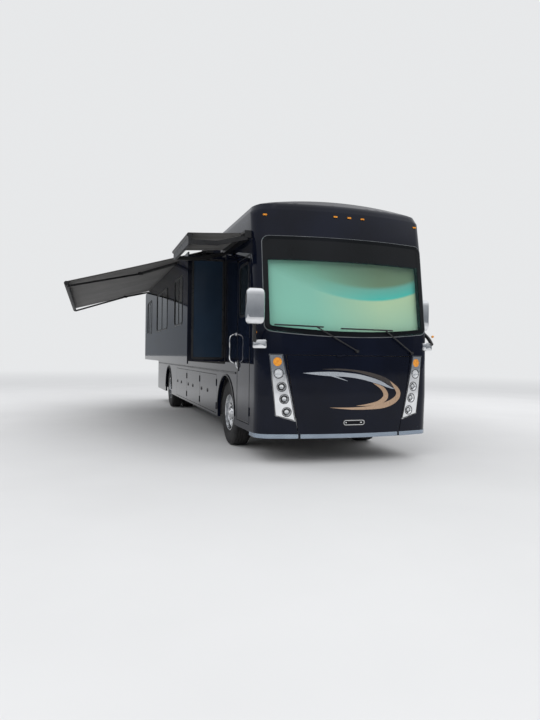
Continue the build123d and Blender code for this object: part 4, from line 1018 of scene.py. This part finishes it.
# Columns: name, middle from the chair's own, half sizes, how square.
CUSHIONS = [("seat", (0, -0.02, 1.56), (0.255, 0.235, 0.062), 0.42),
            ("back", (0, 0.235, 1.9), (0.235, 0.058, 0.27), 0.42),
            ("headrest", (0, 0.24, 2.24), (0.135, 0.048, 0.085), 0.5)]
ARM_X, ARM_Z = 0.235, 1.7
ARM_PAD = (0.03, 0.17, 0.028)
PEDESTAL_Z = 1.1505
PEDESTAL = [(0.088, 0), (0.088, 0.02), (0.05, 0.05), (0.05, 0.3), (0.085, 0.345)]
# The frame's seat pan and its two uprights. Columns: half the width, first Y, last Y, bottom, top.
CHAIR_FRAME = [(0.2, -0.2, 0.2, 1.48, 1.51), (0.06, 0.215, 0.255, 1.5, 1.7), (0.05, 0.225, 0.25, 2.12, 2.2)]


def add_chairs():
    """Two padded cab chairs on their pedestals, with arm pads."""
    frames = Shape()
    for number, (x, y) in enumerate(CHAIRS, 1):
        for name, middle, half, power in CUSHIONS:
            place = (x + middle[0], y + middle[1], middle[2])
            pad = Shape().rings(superformed(place, half, power, 18, 40))
            pad = pad.make(f"chair_{name}_{number}", LEATHER)
        for side, word in BOTH_SIDES:
            arm_x = x + side * ARM_X
            pad = Shape().rings(superformed((arm_x, y, ARM_Z), ARM_PAD, 0.5))
            pad = pad.make(f"chair_arm_{number}_{word}", LEATHER)
            frames.block((arm_x - 0.012, y + 0.12, 1.55), (arm_x + 0.012, y + 0.16, 1.69))
        frames.turned(at(x, y, PEDESTAL_Z), UP, PEDESTAL, 28)
        for half, y0, y1, z0, z1 in CHAIR_FRAME:
            frames.block((x - half, y + y0, z0), (x + half, y + y1, z1))
    frames = frames.make("chair_frames", BLACK, bevel=0.004)
    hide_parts("cab_seats")


# The roof's air conditioners and vents, and the foot of the grilles on the former.
ROOF_UNITS_Y = (2.5, 5.7, 9.2)
ROOF_VENTS_Y = (4.6, 6.8)
GRILLE_Z = 3.6


def add_roof_details():
    """Louvred grilles on the air conditioners, and domed lids on the vents."""
    grilles, lids = Shape(), Shape()
    for y in ROOF_UNITS_Y:
        for side in (-1, 1):
            for i in range(7):
                z = GRILLE_Z + i * 0.022
                grilles.block((side * 0.355, y - 0.33, z), (side * 0.364, y + 0.33, z + 0.011))
        for x in evenly(-0.2, 0.2, 8):
            grilles.block((x - 0.012, y - 0.517, GRILLE_Z), (x + 0.012, y - 0.508, GRILLE_Z + 0.14))
    for y in ROOF_VENTS_Y:
        lids.rings(superformed((0, y, 3.675), (0.235, 0.235, 0.045), 0.45))
    grilles.make("roof_unit_grilles", BLACK)
    lids.make("roof_vent_lids", GREY, slot="roof_plastic")


# The tail lamps' bezels: middle X, half width, foot, top. The lights in them, and one light's outline.
TAIL_X, TAIL_HALF, TAIL_FOOT, TAIL_TOP = 1.06, 0.072, 1.433, 2.067
TAIL_LIGHTS_Z = (1.53, 1.67, 1.83, 1.97)
TAIL_LIGHT = [(0.05, -0.002), (0.05, 0.005), (0.04, 0.009), (0.003, 0.011)]
# The blank plate and its holder: first X, last X, bottom, top.
PLATE_HOLDER = (-0.2, 0.2, 1.43, 1.6)
BLANK_PLATE = (-0.15, 0.15, 1.44, 1.59)
BUMPER_HALF, BUMPER_Z = 1.05, 0.42


def add_rear_details():
    """Lamp bezels and round lights, corner reflectors, a blank plate in its holder, and a bumper strip."""
    bezels, lights, dark, plate = Shape(), Shape(), Shape(), Shape()
    back = Vector((0, 1, 0))
    for side in (-1, 1):
        middle = side * TAIL_X
        loop = rounded_loop(middle - TAIL_HALF, middle + TAIL_HALF, TAIL_FOOT, TAIL_TOP, 0.055)
        bezels.sweep([at(x, REAR_Y, z) for x, z in loop], back, strip(0.016, 0.008), loop=True)
        for z in TAIL_LIGHTS_Z:
            lights.turned(at(middle, REAR_Y, z), back, TAIL_LIGHT, 28)
        dark.block((side * 0.95, REAR_Y - 0.002, 0.5), (side * 1.1, REAR_Y + 0.008, 0.56))
    end_plate(dark, rounded_loop(*PLATE_HOLDER, 0.02), REAR_Y - 0.002, REAR_Y + 0.006)
    end_plate(plate, rounded_loop(*BLANK_PLATE, 0.012), REAR_Y + 0.006, REAR_Y + 0.009)
    line = [at(x, REAR_Y, BUMPER_Z) for x in evenly(-BUMPER_HALF, BUMPER_HALF, 8)]
    bezels.sweep(line, back, strip(0.03, 0.008))
    bezels.make("tail_lamp_bezels", CHROME, bevel=0.002)
    lights.make("tail_lights", RED)
    dark.make("tail_plate_holder", BLACK, bevel=0.002)
    plate.make("tail_blank_plate", PLATE, bevel=0.001, slot="roof_plastic")


BACKDROP = (0.8, 0.81, 0.82, 1)
FLOOR_HALF = 400
# The floor turns into the backdrop between these distances.
FADE_START, FADE_END = 9.0, 40.0


def make_floor():
    """A plain pale floor that fades into the backdrop far from the coach."""
    mesh = bpy.data.meshes.new("floor_plane")
    r = FLOOR_HALF
    mesh.from_pydata([(-r, -r, 0), (r, -r, 0), (r, r, 0), (-r, r, 0)], [], [(0, 1, 2, 3)])
    floor = new_object("studio_floor", mesh)
    n = Nodes("studio_floor")
    n.colour(0.6, (0.7, 0.7, 0.7), (0.72, 0.72, 0.72))
    n.roughness(3.0, 0.85, 0.95)
    far = n.add("ShaderNodeVectorMath", Vector=n.place)
    far.operation = "LENGTH"
    fade = n.add("ShaderNodeMapRange", Value=far.outputs["Value"], From_Min=FADE_START, From_Max=FADE_END)
    fade.interpolation_type = "SMOOTHSTEP"
    camera_ray = n.add("ShaderNodeLightPath").outputs["Is Camera Ray"]
    mix = n.add("ShaderNodeMixShader", Fac=n.maths("MULTIPLY", fade.outputs["Result"], camera_ray))
    glow = n.add("ShaderNodeEmission", Color=BACKDROP)
    n.feed(mix, {1: n.shader.outputs["BSDF"], 2: glow.outputs["Emission"]})
    n.feed(n.tree.nodes["Material Output"], {"Surface": mix.outputs["Shader"]})
    mesh.materials.append(n.material)


# The soft boxes. Columns: place, size, power, what each looks at.
SOFT_BOXES = [((-8, -9, 10), 9, 420, (0, 0, 1.5)), ((8, -10, 10), 9, 260, (0.5, 0, 1.5)),
              ((-9, 9, 10), 9, 380, (0, 5, 1.5)), ((9, 8, 10), 9, 380, (0, 5, 1.5))]
# The world's light from the horizon up. Columns: how high, colour.
SKY = [(0.05, (0.2, 0.215, 0.235)), (0.55, (0.95, 0.96, 0.98))]


def make_lights():
    """Soft studio light: a world, dim at the horizon and bright overhead, and wide soft boxes."""
    world = bpy.data.worlds.new("studio")
    bpy.context.scene.world = world
    world.use_nodes = True
    tree = Tree(world.node_tree)
    split = tree.add("ShaderNodeSeparateXYZ", Vector=tree.add("ShaderNodeTexCoord").outputs["Generated"])
    sky = tree.ramp(split.outputs["Z"], SKY)
    camera_ray = tree.add("ShaderNodeLightPath").outputs["Is Camera Ray"]
    colour = tree.mix(camera_ray, sky, BACKDROP)
    tree.feed(tree.tree.nodes["Background"], {"Color": colour, "Strength": 1.0})
    for place, size, power, target in SOFT_BOXES:
        light = bpy.data.lights.new("soft_box", "AREA")
        light.shape, light.size, light.energy = "SQUARE", size, power
        box = new_object("soft_box", light)
        aim = at(*target) - at(*place)
        box.matrix_world = Matrix.Translation(at(*place)) @ aim.to_track_quat("-Z", "Y").to_matrix().to_4x4()
        box.visible_glossy = False


make_camera()
dress_nodes()
add_windshield_trim()
add_front_stripes()
add_front_lip()
add_hatch_slot()
add_bezel_edges()
add_headlamps()
add_mirrors()
add_grab_handle()
add_window_frames()
add_door_hardware()
add_side_trim()
add_bay_latches()
add_slide_panels()
add_awnings()
add_tyres()
add_hub_caps()
add_chairs()
add_roof_details()
add_rear_details()
make_floor()
make_lights()
bpy.context.scene.view_settings.view_transform = "Standard"
